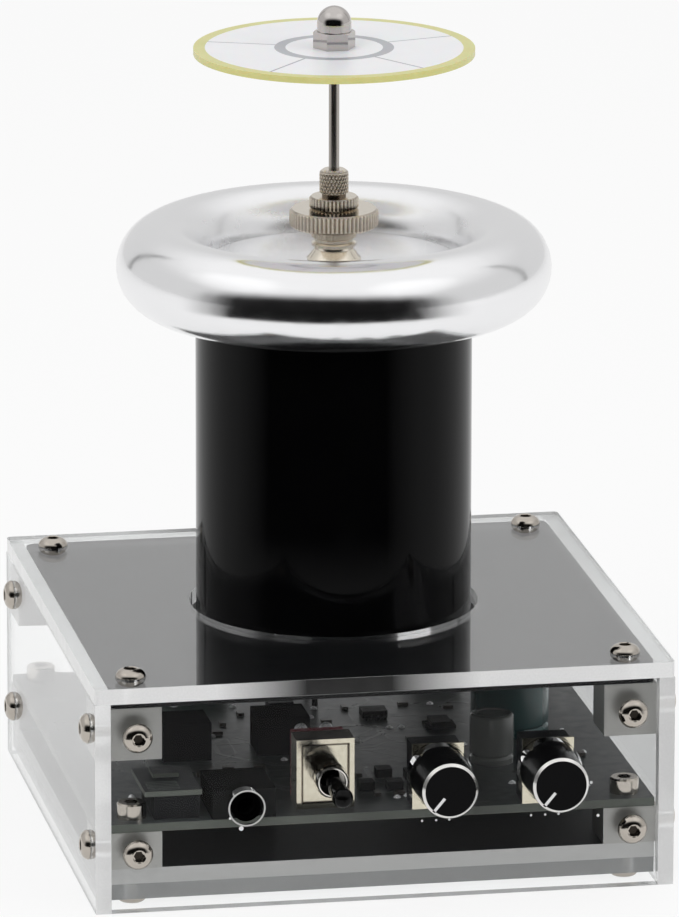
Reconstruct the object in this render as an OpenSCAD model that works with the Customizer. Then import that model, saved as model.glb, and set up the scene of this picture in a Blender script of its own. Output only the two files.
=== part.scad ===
// Desktop resonant transformer: clear driver case, black secondary coil,
// spun toroid, knurled terminal and a disc that spins on a needle.
// Millimetres, +Z up, front towards -Y. The origin is the middle of the case
// on the surface that it stands on, and the coil's axis is the Z axis.

/* [Case] */
// Width of the case, left to right
case_w = 110; // [104:1:130]
// Depth of the case, front to back
case_d = 110; // [104:1:130]
// Height of the case, top of the top plate
case_h = 43.5; // [42:0.5:50]
// Thickness of the clear sheets
wall = 3; // [2.5:0.5:4]
// Radius of the top plate's corners
plate_corner = 1; // [0.5:0.5:3]
// Height of the bottom plate's underside above the table
foot_gap = 1.8; // [1.7:0.1:3]
// Gap from an inner plate's edge to the walls
sheet_gap = 0.2; // [0.1:0.1:0.4]
// Thickness of the aluminium heat spreader
spreader_t = 3; // [2:0.5:4]
// Radius of the round opening that the coil stands in, beyond the coil
collar_gap = 1.25; // [0.5:0.25:2]

/* [Corner blocks] */
// Side of an upper corner block
block = 10; // [9:0.5:12]
// Height of a lower corner block
low_block_h = 7; // [6.5:0.5:9]

/* [Boards] */
// Thickness of the main circuit board
board_t = 1.6; // [1:0.2:2]
// Thickness of the black primary coil board
primary_t = 1.6; // [1:0.2:2]
// Corner radius of the primary coil board
primary_corner = 2; // [1:0.5:4]
// Turns of the flat primary coil
primary_turns = 6; // [3:1:7]
// Inner radius of the flat primary coil
primary_r = 29; // [26:0.5:30]
// Distance from one primary turn to the next
primary_pitch = 2.6; // [2.2:0.1:2.8]
// Width of a primary turn
primary_track = 1.8; // [1:0.1:2]
// Thickness of a primary turn
primary_copper = 0.3; // [0.1:0.1:0.5]

/* [Screws] */
// Diameter of a screw's shank
shank_d = 2.9; // [2.5:0.1:3]
// Clearance hole in a plate, beyond the shank
screw_clear = 0.4; // [0.2:0.1:0.6]
// Diameter of a button head
button_d = 5.7; // [5:0.1:6]
// Height of a button head
button_h = 1.65; // [1.2:0.05:1.7]
// Width across the flats of a button head's socket
button_hex = 2; // [1.5:0.1:2.5]
// Diameter of a cap head
cap_d = 5.5; // [5:0.1:6]
// Height of a cap head
cap_h = 3; // [2:0.1:3.5]
// Width across the flats of a cap head's socket
cap_hex = 2.5; // [2:0.1:3]
// Thread of a wall screw in its block
wall_bite = 3; // [2:0.1:3.2]
// Thread of a top screw in its block
top_bite = 3.4; // [2.5:0.1:4]
// Thread of a bottom screw in its block
bottom_bite = 2; // [1.5:0.1:2.4]
// Thread of a circuit board screw in its block
board_bite = 3; // [2:0.1:3.4]

/* [Audio jack] */
// Distance of the jack from the left wall
jack_side = 25.6; // [25:0.1:27]
// Height of the jack's axis above the board
jack_h = 2.8; // [2.8:0.1:4]
// Diameter of the plug that the jack takes
jack_bore = 3.6; // [3.5:0.05:3.7]
// Length of the jack's bore
jack_depth = 13; // [11:0.5:15]
// Width of the jack's body
jack_w = 12; // [10:0.2:12.2]
// Height of the jack's body
jack_body_h = 5.6; // [5.6:0.2:8]
// Length of the jack's body behind the panel
jack_body_l = 14; // [13.5:0.5:16]
// Diameter of the jack's nose in the panel
jack_nose = 5.4; // [4.8:0.1:5.5]
// Diameter of the jack's hole in the panel
jack_hole = 7; // [6.1:0.1:7.5]

/* [Toggle switch] */
// Distance of the switch from the middle of the case
toggle_x = -10.3; // [-12:0.1:-8]
// Height of the switch's axis above the board
toggle_h = 7.2; // [7:0.1:8]
// Width of the switch's body
toggle_w = 11; // [10:0.2:12]
// Height of the switch's body
toggle_body_h = 13.4; // [12:0.2:14]
// Length of the switch's body
toggle_body_l = 10; // [8:0.5:12]
// Distance from the panel to the switch's front plate
toggle_back = 4.2; // [3.5:0.1:5]
// Outer diameter of the threaded bushing
bushing_d = 5.9; // [5.7:0.1:6]
// Bore of the bushing's mouth
bushing_bore = 5.1; // [5:0.05:5.2]
// Diameter of the switch's hole in the panel
toggle_hole = 6.4; // [6.3:0.1:7.5]
// Diameter of the lever's ball
lever_ball = 4; // [3.6:0.1:4.2]
// Diameter of the lever's stem
lever_d = 2.2; // [2:0.1:2.4]
// Diameter of the black cap on the lever
lever_cap_d = 3.9; // [3.4:0.1:4.2]
// Reach of the lever in front of the panel
lever_reach = 13; // [11:0.5:15]
// Length of the black cap on the lever
lever_cap_l = 11; // [8:0.5:11.5]
// Diameter of the pin that the lever swings on
pivot_d = 1; // [0.8:0.1:1.2]
// Reach of the lever's tail behind its pin
lever_tail = 4.7; // [4:0.1:5.2]
// Diameter of the lever's tail
tail_d = 1.6; // [1.2:0.1:1.8]
// Thickness of the metal frame round the switch
frame_t = 0.6; // [0.4:0.1:0.8]
// Length of a contact behind the switch
contact_l = 3.5; // [2:0.1:5]
// Width of a contact
contact_w = 1.6; // [1:0.1:2]

/* [Controls] */
// Distance of the volume control from the middle of the case
volume_x = 10.4; // [9:0.1:12]
// Distance of the rate control from the middle of the case
rate_x = 31.4; // [29:0.1:33]
// Height of both shafts above the board
shaft_h = 6.9; // [6.5:0.1:7.5]
// Width of a control's body
pot_w = 9.8; // [9:0.1:10.5]
// Height of a control's body
pot_body_h = 12.6; // [11:0.1:13]
// Length of a control's body
pot_body_l = 6.5; // [5:0.5:8]
// Depth of the pocket that a control's shaft turns in
shaft_bed = 4; // [3:0.1:4.5]
// Thickness of a control's front plate
pot_plate_t = 0.8; // [0.5:0.1:1]
// Thickness of the ears that fold back from the plate
pot_ear_t = 0.3; // [0.2:0.05:0.3]
// Length of an ear
pot_ear_l = 3.5; // [2:0.1:5]
// Height of an ear
pot_ear_h = 5; // [3:0.1:7]
// Height of an ear's lower edge above the board
pot_ear_z = 2; // [1:0.1:4]
// Diameter of a control's shaft
shaft_d = 6; // [5.5:0.1:6]
// Diameter of a knob at its back
knob_d = 11.2; // [10:0.1:11.3]
// Diameter of a knob at its front
knob_front_d = 10.6; // [9:0.1:11]
// Reach of a knob in front of the panel
knob_reach = 9.5; // [8:0.5:12]
// Reach of a knob behind the panel's front
knob_behind = 1.8; // [0.5:0.1:2.2]
// Diameter of a knob's hole in the panel
knob_hole = 12; // [11.9:0.1:14]
// Width of a knob's pointer groove
pointer_w = 0.6; // [0.4:0.1:1]
// Depth of a knob's pointer groove
pointer_depth = 0.25; // [0.1:0.05:0.5]
// Angle of a pointer at its least setting, from straight down
pointer_angle = 40; // [25:1:60]

/* [Power inlet] */
// Distance of the inlet from the middle of the case
inlet_x = 28; // [20:1:32]
// Height of the inlet's axis above the board
inlet_h = 6; // [5.5:0.1:7]
// Bore of the inlet
inlet_bore = 6.4; // [6:0.1:6.6]
// Depth of the inlet's bore
inlet_depth = 9.5; // [8:0.5:11]
// Diameter of the inlet's centre pin
inlet_pin_d = 2; // [1.6:0.1:2.5]
// Width of the inlet's body
inlet_w = 9; // [8.6:0.2:12]
// Height of the inlet's body
inlet_body_h = 10.8; // [10:0.2:12]
// Length of the inlet's body
inlet_l = 13.5; // [12:0.5:16]
// Diameter of the inlet's round nose in the panel
inlet_nose = 8.4; // [8:0.1:9]
// Gap round a nose or a body in its panel hole
panel_gap = 0.3; // [0.2:0.05:0.6]

/* [Board parts] */
// Distance of the wireless audio module's middle from the left wall
module_side = 12.5; // [12.4:0.1:12.8]
// Distance of its middle from the front wall
module_front = 9.7; // [9.6:0.1:12]
// Width of the wireless audio module
module_w = 10.8; // [10:0.1:11.2]
// Length of the wireless audio module
module_l = 15.6; // [14:0.2:16]
// Thickness of the module's board
module_t = 1; // [0.6:0.1:1.6]
// Height of the module's underside above the main board
module_lift = 4.6; // [3.6:0.1:8]
// Width of the pin header under the module
header_w = 8.6; // [5:0.2:8.8]
// Diameter of the small capacitor
small_can_d = 8.4; // [6:0.1:10]
// Height of the small capacitor
small_can_h = 9.5; // [7:0.1:12]
// Diameter of the large capacitor
large_can_d = 15; // [12:0.2:16]
// Height of the large capacitor
large_can_h = 19.8; // [15:0.1:21]
// Height of the film capacitors
film_h = 7.4; // [5:0.1:12]
// Depth of the film capacitors
film_l = 9.4; // [7:0.2:10]
// Outer diameter of the ferrite ring
ferrite_d = 14.6; // [12:0.2:15]
// Height of the ferrite ring
ferrite_h = 6; // [4:0.5:10]
// Width of a chip
chip_w = 3.9; // [3:0.1:4.4]
// Length of a chip
chip_l = 4.9; // [4.6:0.1:5.6]
// Height of a chip's body
chip_h = 1.4; // [1:0.1:2]
// Distance from one leg of a chip to the next
chip_pitch = 1.27; // [1:0.01:1.3]
// Side of a small inductor
inductor_w = 3; // [2:0.1:3.4]
// Height of a small inductor
inductor_h = 1.7; // [1:0.1:2.5]
// Length of the smallest parts
small_l = 2; // [1.6:0.1:2.4]
// Width of the smallest parts
small_w = 1.2; // [0.8:0.1:1.4]
// Height of the smallest parts
small_h = 0.7; // [0.4:0.1:1]
// Width of a power transistor
transistor_w = 15.6; // [14:0.2:16]
// Length of a power transistor's body
transistor_l = 20; // [18:0.5:21]
// Thickness of a power transistor
transistor_t = 4.8; // [4:0.1:5]
// Distance from one leg of a power transistor to the next
leg_pitch = 5.4; // [5:0.1:5.6]
// Diameter of a lead that runs up from the main board
lead_d = 1.2; // [0.8:0.1:1.4]
// Gap round a lead in its hole
lead_gap = 0.15; // [0.05:0.05:0.3]

/* [Coil] */
// Outer diameter of the black coil
coil_d = 52.6; // [48:0.2:53]
// Length of the coil above the primary board
coil_l = 62.8; // [50:0.2:80]
// Thickness of the gloss black sleeve
sleeve_t = 0.8; // [0.5:0.1:1.2]
// Thickness of the wound wire
winding_t = 0.45; // [0.3:0.05:0.8]
// Bare length of the former above and below the winding
winding_margin = 4; // [3:0.5:8]
// Wall of the plastic former
former_wall = 2.5; // [2:0.1:3]
// Gap between one layer of the coil and the next
layer_gap = 0.05; // [0.02:0.01:0.1]
// Thickness of the caps that close the coil
cap_t = 1.5; // [1:0.1:3]
// Depth of a cap's plug in the former
cap_plug = 5; // [4:0.5:8]
// Diameter of the boss that carries the toroid
boss_d = 16; // [12:0.5:20]
// Least height of the boss
boss_h = 2; // [1:0.5:4]

/* [Toroid] */
// Outer diameter of the toroid
toroid_d = 82.6; // [78:0.2:90]
// Diameter of the toroid's tube
ring_d = 17.1; // [16.5:0.1:18]
// Wall of the spun toroid
ring_wall = 0.8; // [0.5:0.1:1]
// Thickness of the toroid's middle plate
dish_t = 1.2; // [0.8:0.1:1.5]
// Height of the middle plate's top above the tube's centre
dish_rise = 0.9; // [0.6:0.1:2]
// Reach of the middle plate's rim into the tube
dish_grip = 2.8; // [2:0.1:3.5]

/* [Terminal] */
// Diameter of the threaded stud
stud_d = 3.9; // [3.5:0.1:4]
// Length of the stud below its nut
stud_tail = 1; // [0.6:0.1:3]
// Depth of the stud's top in the small knurled nut
stud_short = 0.4; // [0.2:0.1:1]
// Width across the flats of the nut that clamps the stud
nut_af = 7; // [6:0.1:8]
// Height of the nut that clamps the stud
nut_h = 3.2; // [2.4:0.1:4]
// Diameter of the terminal's foot
foot_d = 10.3; // [9:0.1:12]
// Height of the terminal's turned foot
foot_h = 6.8; // [6.5:0.1:9]
// Diameter of the large knurled nut
thumb_d = 16.9; // [14:0.1:20]
// Height of the large knurled nut
thumb_h = 3.5; // [3:0.1:5]
// Teeth round the large knurled nut
thumb_teeth = 60; // [40:1:72]
// Diameter of the small knurled nut
lock_d = 9.4; // [8:0.1:11]
// Height of the small knurled nut
lock_h = 2.4; // [2:0.1:4]
// Teeth round the small knurled nut
lock_teeth = 36; // [24:1:44]
// Depth of a knurl's teeth
knurl_depth = 0.35; // [0.2:0.05:0.5]
// Diameter of the needle's chuck
chuck_d = 5.6; // [5:0.1:7]
// Height of the needle's chuck
chuck_h = 5.2; // [4:0.1:7]
// Diameter of the needle
needle_d = 2; // [1.5:0.1:2.4]
// Needle that shows between the chuck and the disc
needle_show = 22.3; // [15:0.1:35]

/* [Spinning disc] */
// Diameter of the spinning disc
disc_d = 53.2; // [40:0.2:70]
// Thickness of the spinning disc
disc_t = 1.2; // [1:0.1:2]
// Width across the flats of the domed nut
dome_af = 7; // [6.5:0.1:8]
// Height of the domed nut's hexagon
dome_hex_h = 3.2; // [2.8:0.1:4]
// Height of the whole domed nut
dome_h = 8; // [7.5:0.1:9]
// Outer diameter of the bearing bush
bush_d = 4; // [3.8:0.1:4.4]
// Diameter of the bearing bush's flange
bush_flange_d = 6; // [5:0.1:8]
// Thickness of the bearing bush's flange
bush_flange_t = 0.8; // [0.5:0.1:1.2]
// Depth of the bearing bush's bore
bush_bore_h = 4; // [3.5:0.1:4.4]

/* [Fits] */
// Gap round a shaft that turns in its bore
running_gap = 0.05; // [0.02:0.01:0.09]
// Gap round a piece that is pressed or screwed home
press_gap = 0.02; // [0.01:0.01:0.05]

/* [Hidden] */
$fn = 64;

// A cut runs this far past the faces that it opens
cut = 0.5;
side_x = case_w / 2;
side_y = case_d / 2;
inner_x = side_x - wall;
inner_y = side_y - wall;
wall_h = case_h - wall;
sheet_w = case_w - 2 * wall - 2 * sheet_gap;
sheet_d = case_d - 2 * wall - 2 * sheet_gap;

// Heights of the stack inside the case
base_z = foot_gap;
spreader_z = base_z + wall;
low_block_z = spreader_z + spreader_t;
board_z = low_block_z + low_block_h;
board_top = board_z + board_t;
primary_z = wall_h - primary_t;
up_block_z = primary_z - block;
up_screw_z = up_block_z + block / 2;
low_screw_z = low_block_z + low_block_h / 2;
screw_x = inner_x - block / 2;
screw_y = inner_y - block / 2;
hole_d = shank_d + screw_clear;
tapped_d = shank_d + 0.1;
bore_end = 0.4;

// Controls
jack_x = jack_side - inner_x;
jack_z = board_top + jack_h;
toggle_z = board_top + toggle_h;
shaft_z = board_top + shaft_h;
inlet_z = board_top + inlet_h;
back_of_panel = -inner_y;
plate_y = back_of_panel + panel_gap;
toggle_y = back_of_panel + toggle_back;
lever_y = toggle_y - lever_ball / 2 - 0.9;
lever_bed = toggle_y + frame_t - lever_y + pivot_d;
pivot_l = bushing_d - 0.4;
knob_back_y = -side_y + knob_behind;
shaft_end_y = -side_y - knob_reach + 2.2;

// Coil, from the sleeve inwards
coil_z = wall_h;
coil_top = coil_z + coil_l;
coil_r = coil_d / 2;
winding_r = coil_r - sleeve_t - layer_gap;
former_r = winding_r - winding_t - layer_gap;
former_in = former_r - former_wall;
former_top = coil_top - cap_t;

// The coil's start lead passes through the primary board inside the former.
// The primary's two leads end under the first and the last turn.
coil_lead_y = former_in - 2;
primary_ends = [primary_r, primary_r + primary_pitch * primary_turns];

// Places on the main board. The wireless module keeps to the left and front
// walls, and the rest keeps to the middle of the case.
module_at = [module_side - inner_x, module_front - inner_y];
small_can_at = [26.4, -22.5];
large_can_at = [34, -2];
ferrite_at = [-22, 34];
transistor_at = [24, 18];
// Each film capacitor: x, y and width
films = [[-30.6, -8.4, 9.2], [-11.8, -7.6, 10]];
// Each chip: x, y and angle
chips = [[9.8, 11, 90], [21, 2, 0], [-7, 20, 90]];
// Each small inductor: x and y
inductors = [[4.2, -29], [-0.6, -37], [4.8, -37.4], [9.4, -31.2]];
// Each small part: x, y and angle
smalls = [
    [16.8, 17.5, 0], [5.2, 16.8, 90], [-15.4, 16.2, 90], [-24, -20, 0], [-21, -22, 90],
    [-27, -22, 0], [-18, -20, 0], [-30, -23, 90], [-0.4, -28, 90], [0.6, -32.6, 0],
    [0.8, -41.2, 90], [5, -41.4, 0], [10.2, -36.4, 90],
    [-22, 4, 0], [-20, 10, 90], [14, -6, 0], [17, -12, 90], [0, 8, 0], [-4, 2, 90],
    [25, 14, 0], [42, -30, 90], [44, -22, 90]
];

// Toroid: its underside rests on the coil's rim, or its plate on a low boss
ring_r = ring_d / 2;
ring_c = toroid_d / 2 - ring_r;
ring_over = ring_c - coil_r;
rim_rise = sqrt(max(0, ring_r * ring_r - ring_over * ring_over)) + layer_gap;
toroid_z = coil_top + ceil(10 * max(rim_rise, boss_h + dish_t - dish_rise)) / 10;
dish_top = toroid_z + dish_rise;
dish_z = dish_top - dish_t;
dish_r = ring_c - ring_r + dish_grip;

// Terminal, from the toroid's plate up
foot_top = dish_top + foot_h;
thumb_top = foot_top + thumb_h;
lock_top = thumb_top + lock_h;
chuck_top = lock_top + chuck_h;
stud_top = lock_top - stud_short;
// Outline of the turned foot: radius and height as shares of the foot's own
foot_outline = [
    [1, 0], [1, 0.1], [0.95, 0.13], [0.71, 0.37], [0.69, 0.43], [0.83, 0.47], [0.83, 0.54],
    [0.71, 0.59], [0.71, 0.66], [0.84, 0.72], [0.84, 1]
];
stud_bottom = former_top - nut_h - stud_tail;
disc_z = chuck_top + needle_show;
disc_top = disc_z + disc_t;
bush_z = disc_z - bush_flange_t;
needle_tip = bush_z + bush_bore_h - 0.1;
bush_top = disc_top + 3.2;

// The flat hexagon's corners lie this much further out than its flats
hex_k = 1 / cos(30);

// Puts a child at the four corner screws
module at_corners() {
    for (x = [-screw_x, screw_x], y = [-screw_y, screw_y])
        translate([x, y, 0]) children();
}

// Turns a child drawn along +Z to point along a horizontal direction
module aim(angle) {
    rotate([0, 0, angle]) rotate([0, 90, 0]) children();
}

// Flat sheet with round corners, standing on z = 0
module sheet(w, d, t, r) {
    linear_extrude(t) {
        square([w - 2 * r, d], center = true);
        square([w, d - 2 * r], center = true);
        for (x = [-1, 1], y = [-1, 1])
            translate([x * (w / 2 - r), y * (d / 2 - r)]) circle(r);
    }
}

// Through hole along Z
module drill(d, z0, z1) {
    translate([0, 0, z0 - cut]) cylinder(d = d, h = z1 - z0 + 2 * cut);
}

// Button head screw, head up, seated on z = 0
module button_screw(length) {
    crown = button_d / 2 - 0.9;
    difference() {
        union() {
            rotate_extrude() polygon([
                [0, 0], [button_d / 2, 0], [button_d / 2, 0.3],
                for (a = [15:15:75])
                    [crown + 0.9 * cos(a), 0.3 + (button_h - 0.3) * sin(a)],
                [crown, button_h], [0, button_h]
            ]);
            translate([0, 0, -length]) cylinder(d = shank_d, h = length + 0.1);
        }
        translate([0, 0, button_h - 1])
            cylinder(d = button_hex * hex_k, h = 1 + cut, $fn = 6);
    }
}

// Cap head screw, head up, seated on z = 0
module cap_screw(length) {
    difference() {
        union() {
            cylinder(d = cap_d, h = cap_h - 0.3);
            translate([0, 0, cap_h - 0.3])
                cylinder(d1 = cap_d, d2 = cap_d - 0.6, h = 0.3);
            translate([0, 0, -length]) cylinder(d = shank_d, h = length + 0.1);
        }
        translate([0, 0, cap_h - 1.4])
            cylinder(d = cap_hex * hex_k, h = 1.4 + cut, $fn = 6);
    }
}

// ---- Case ----

module top_plate() {
    color("whitesmoke", 0.3) difference() {
        translate([0, 0, wall_h]) sheet(case_w, case_d, wall, plate_corner);
        drill(coil_d + 2 * collar_gap, wall_h, case_h);
        at_corners() drill(hole_d, wall_h, case_h);
    }
}

// Holes for the four screws of a front or back wall
module wall_holes_y(y) {
    for (x = [-screw_x, screw_x], z = [low_screw_z, up_screw_z])
        translate([x, y, z]) rotate([90, 0, 0])
            cylinder(d = hole_d, h = wall + 2 * cut, center = true);
}

module front_panel() {
    y = -side_y + wall / 2;
    color("whitesmoke", 0.3) difference() {
        translate([-inner_x, -side_y, 0]) cube([2 * inner_x, wall, wall_h]);
        wall_holes_y(y);
        for (h = [[jack_x, jack_z, jack_hole], [toggle_x, toggle_z, toggle_hole],
                  [volume_x, shaft_z, knob_hole], [rate_x, shaft_z, knob_hole]])
            translate([h[0], y, h[1]]) rotate([90, 0, 0])
                cylinder(d = h[2], h = wall + 2 * cut, center = true);
    }
}

module back_panel() {
    y = side_y - wall / 2;
    color("whitesmoke", 0.3) difference() {
        translate([-inner_x, inner_y, 0]) cube([2 * inner_x, wall, wall_h]);
        wall_holes_y(y);
        translate([inlet_x, y, inlet_z]) rotate([90, 0, 0])
            cylinder(d = inlet_nose + 2 * panel_gap, h = wall + 2 * cut, center = true);
    }
}

module side_panel(side) {
    x = side * (side_x - wall / 2);
    color("whitesmoke", 0.3) difference() {
        translate([x - wall / 2, -side_y, 0]) cube([wall, case_d, wall_h]);
        for (y = [-screw_y, screw_y], z = [low_screw_z, up_screw_z])
            translate([x, y, z]) rotate([0, 90, 0])
                cylinder(d = hole_d, h = wall + 2 * cut, center = true);
    }
}

module left_panel() {
    side_panel(-1);
}

module right_panel() {
    side_panel(1);
}

module bottom_plate() {
    color("whitesmoke", 0.3) difference() {
        translate([-sheet_w / 2, -sheet_d / 2, base_z]) cube([sheet_w, sheet_d, wall]);
        at_corners() drill(hole_d, base_z, spreader_z);
    }
}

module heat_spreader() {
    color("silver") difference() {
        translate([-sheet_w / 2, -sheet_d / 2, spreader_z])
            cube([sheet_w, sheet_d, spreader_t]);
        at_corners() drill(hole_d, spreader_z, low_block_z);
    }
}

// Tapped holes that a block needs for its two wall screws
module wall_taps(x, y, z) {
    depth = wall_bite + bore_end;
    translate([x, y, z]) {
        aim(x > 0 ? 0 : 180) translate([0, 0, block / 2 - depth])
            cylinder(d = tapped_d, h = depth + cut);
        aim(y > 0 ? 90 : -90) translate([0, 0, block / 2 - depth])
            cylinder(d = tapped_d, h = depth + cut);
    }
}

module upper_blocks() {
    depth = top_bite + bore_end;
    color("lightgray")
    for (x = [-screw_x, screw_x], y = [-screw_y, screw_y]) difference() {
        translate([x - block / 2, y - block / 2, up_block_z]) cube(block);
        wall_taps(x, y, up_screw_z);
        translate([x, y, primary_z - depth]) cylinder(d = tapped_d, h = depth + cut);
    }
}

module lower_blocks() {
    up = bottom_bite + bore_end;
    down = board_bite + bore_end;
    color("lightgray")
    for (x = [-screw_x, screw_x], y = [-screw_y, screw_y]) difference() {
        translate([x - block / 2, y - block / 2, low_block_z])
            cube([block, block, low_block_h]);
        wall_taps(x, y, low_screw_z);
        translate([x, y, low_block_z - cut]) cylinder(d = tapped_d, h = up + cut);
        translate([x, y, board_z - down]) cylinder(d = tapped_d, h = down + cut);
    }
}

// ---- Screws ----

module top_screws() {
    color("silver") at_corners() translate([0, 0, case_h])
        button_screw(wall + primary_t + top_bite);
}

module bottom_screws() {
    color("silver") at_corners() translate([0, 0, base_z]) rotate([180, 0, 0])
        button_screw(wall + spreader_t + bottom_bite);
}

module board_screws() {
    color("silver") at_corners() translate([0, 0, board_top])
        cap_screw(board_t + board_bite);
}

// The four screws of one wall: side is -1 or 1, and angle points out of it
module screws_y(side) {
    for (x = [-screw_x, screw_x], z = [low_screw_z, up_screw_z])
        translate([x, side * side_y, z]) aim(side * 90) button_screw(wall + wall_bite);
}

module screws_x(side) {
    for (y = [-screw_y, screw_y], z = [low_screw_z, up_screw_z])
        translate([side * side_x, y, z]) aim(side > 0 ? 0 : 180)
            button_screw(wall + wall_bite);
}

module front_screws() {
    color("silver") screws_y(-1);
}

module back_screws() {
    color("silver") screws_y(1);
}

module left_screws() {
    color("silver") screws_x(-1);
}

module right_screws() {
    color("silver") screws_x(1);
}

// ---- Boards ----

module main_board() {
    color("darkslategray") difference() {
        translate([-sheet_w / 2, -sheet_d / 2, board_z]) cube([sheet_w, sheet_d, board_t]);
        at_corners() drill(hole_d, board_z, board_top);
    }
}

module primary_board() {
    color("black") difference() {
        translate([0, 0, primary_z]) sheet(sheet_w, sheet_d, primary_t, primary_corner);
        at_corners() drill(hole_d, primary_z, wall_h);
        drill(hole_d, primary_z, wall_h);
        translate([0, coil_lead_y, 0]) drill(lead_d + 2 * lead_gap, primary_z, wall_h);
    }
}

// A point on the flat spiral, a turns from its inner end, which is at the back
function spiral(a, off) =
    let (r = primary_r + primary_pitch * a + off, t = 90 + 360 * a)
    [r * cos(t), r * sin(t)];

module primary_coil() {
    steps = 30;
    last = primary_turns * steps;
    color("peru") translate([0, 0, primary_z - primary_copper])
        linear_extrude(primary_copper) polygon([
            for (i = [0:last]) spiral(i / steps, -primary_track / 2),
            for (i = [last:-1:0]) spiral(i / steps, primary_track / 2)
        ]);
}

// ---- Audio jack and power inlet ----

module audio_jack() {
    color("black") difference() {
        union() {
            translate([jack_x - jack_w / 2, plate_y, board_top])
                cube([jack_w, jack_body_l, jack_body_h]);
            translate([jack_x, plate_y + cut, jack_z]) rotate([90, 0, 0])
                cylinder(d = jack_nose, h = wall + panel_gap + cut - 0.6);
        }
        translate([jack_x, -side_y + 0.6 + jack_depth, jack_z]) rotate([90, 0, 0])
            cylinder(d = jack_bore, h = jack_depth + cut);
    }
}

module power_inlet() {
    back = inner_y - panel_gap;
    color("black") difference() {
        union() {
            translate([inlet_x - inlet_w / 2, back - inlet_l, board_top])
                cube([inlet_w, inlet_l, inlet_body_h]);
            translate([inlet_x, back - cut, inlet_z]) rotate([-90, 0, 0])
                cylinder(d = inlet_nose, h = wall + panel_gap + cut);
        }
        translate([inlet_x, side_y - inlet_depth, inlet_z]) rotate([-90, 0, 0])
            cylinder(d = inlet_bore, h = inlet_depth + cut);
    }
}

module inlet_pin() {
    floor_y = side_y - inlet_depth;
    color("silver") translate([inlet_x, floor_y, inlet_z]) rotate([-90, 0, 0]) {
        cylinder(d = inlet_pin_d, h = inlet_depth - 1.5);
        translate([0, 0, inlet_depth - 1.5])
            cylinder(d1 = inlet_pin_d, d2 = inlet_pin_d - 0.8, h = 0.5);
    }
}

// ---- Toggle switch ----

module toggle_body() {
    y0 = toggle_y + frame_t;
    color("darkred") difference() {
        union() {
            translate([toggle_x - toggle_w / 2 + frame_t, y0, board_top])
                cube([toggle_w - 2 * frame_t, toggle_body_l - frame_t, toggle_body_h - frame_t]);
            for (kx = [-1, 1], kz = [-1, 0, 1])
                translate([toggle_x + kx * toggle_w * 0.22 - contact_w / 2,
                           toggle_y + toggle_body_l - cut,
                           toggle_z + kz * toggle_body_h / 3 - frame_t / 2])
                    cube([contact_w, contact_l + cut, frame_t]);
        }
        translate([toggle_x, y0 - cut, toggle_z]) rotate([-90, 0, 0])
            cylinder(d = lever_ball + 1, h = 2 + cut);
    }
}

module toggle_frame() {
    y1 = toggle_y + toggle_body_l * 0.6;
    left = toggle_x - toggle_w / 2;
    color("tan") difference() {
        union() {
            translate([left, toggle_y, board_top]) cube([toggle_w, frame_t, toggle_body_h]);
            for (x = [left, left + toggle_w - frame_t])
                translate([x, toggle_y, board_top]) cube([frame_t, y1 - toggle_y, toggle_body_h]);
            translate([left, toggle_y, board_top + toggle_body_h - frame_t])
                cube([toggle_w, y1 - toggle_y, frame_t]);
        }
        translate([left + 1, toggle_y - cut, board_top + 1])
            cube([toggle_w - 2, cut + frame_t / 2, toggle_body_h - 2]);
        translate([toggle_x, toggle_y, toggle_z]) rotate([90, 0, 0])
            cylinder(d = bushing_d + 2 * press_gap, h = 4 * frame_t, center = true);
    }
}

module toggle_bushing() {
    front = -side_y - 0.9;
    length = toggle_y + frame_t - front;
    color("silver") translate([toggle_x, toggle_y + frame_t, toggle_z]) rotate([90, 0, 0])
        difference() {
            union() {
                cylinder(d = bushing_d, h = length - 0.4);
                translate([0, 0, length - 0.4])
                    cylinder(d1 = bushing_d, d2 = bushing_d - 0.4, h = 0.4);
            }
            translate([0, 0, -cut])
                cylinder(d = lever_ball + 2 * running_gap, h = lever_bed + cut);
            translate([0, 0, lever_bed - 0.1]) cylinder(d = bushing_bore, h = length);
            translate([0, 0, lever_bed - pivot_d]) rotate([0, 90, 0])
                cylinder(d = pivot_d + 2 * running_gap, h = bushing_d + 2 * cut, center = true);
        }
}

// The lever's ball swings on a cross pin, and its tail works the contacts
module toggle_lever() {
    tip = -side_y - lever_reach + 2.4;
    color("gainsboro") translate([toggle_x, lever_y, toggle_z]) {
        sphere(d = lever_ball);
        rotate([90, 0, 0]) cylinder(d = lever_d, h = lever_y - tip);
        rotate([-90, 0, 0]) cylinder(d = tail_d, h = lever_tail);
        rotate([0, 90, 0]) cylinder(d = pivot_d, h = pivot_l, center = true);
    }
}

module lever_cap() {
    tip = -side_y - lever_reach;
    r = lever_cap_d / 2;
    back = tip + lever_cap_l;
    color("black") translate([toggle_x, back, toggle_z]) rotate([90, 0, 0]) difference() {
        union() {
            cylinder(d1 = lever_cap_d - 0.9, d2 = lever_cap_d, h = lever_cap_l - r);
            translate([0, 0, lever_cap_l - r]) sphere(r);
        }
        translate([0, 0, -cut]) cylinder(d = lever_d + 2 * press_gap, h = lever_cap_l - 2.35 + cut);
    }
}

// ---- Controls ----

// Square body behind a control's plate, with a round pocket for the shaft
module pot_body(x) {
    y0 = plate_y + pot_plate_t;
    difference() {
        translate([x - pot_w / 2 + pot_ear_t, y0, board_top])
            cube([pot_w - 2 * pot_ear_t, pot_body_l, pot_body_h - 2 * pot_ear_t]);
        translate([x, y0 - cut, shaft_z]) rotate([-90, 0, 0])
            cylinder(d = shaft_d + 2 * running_gap, h = shaft_bed + cut);
    }
}

module pot_bodies() {
    color("black") {
        pot_body(volume_x);
        pot_body(rate_x);
    }
}

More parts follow.
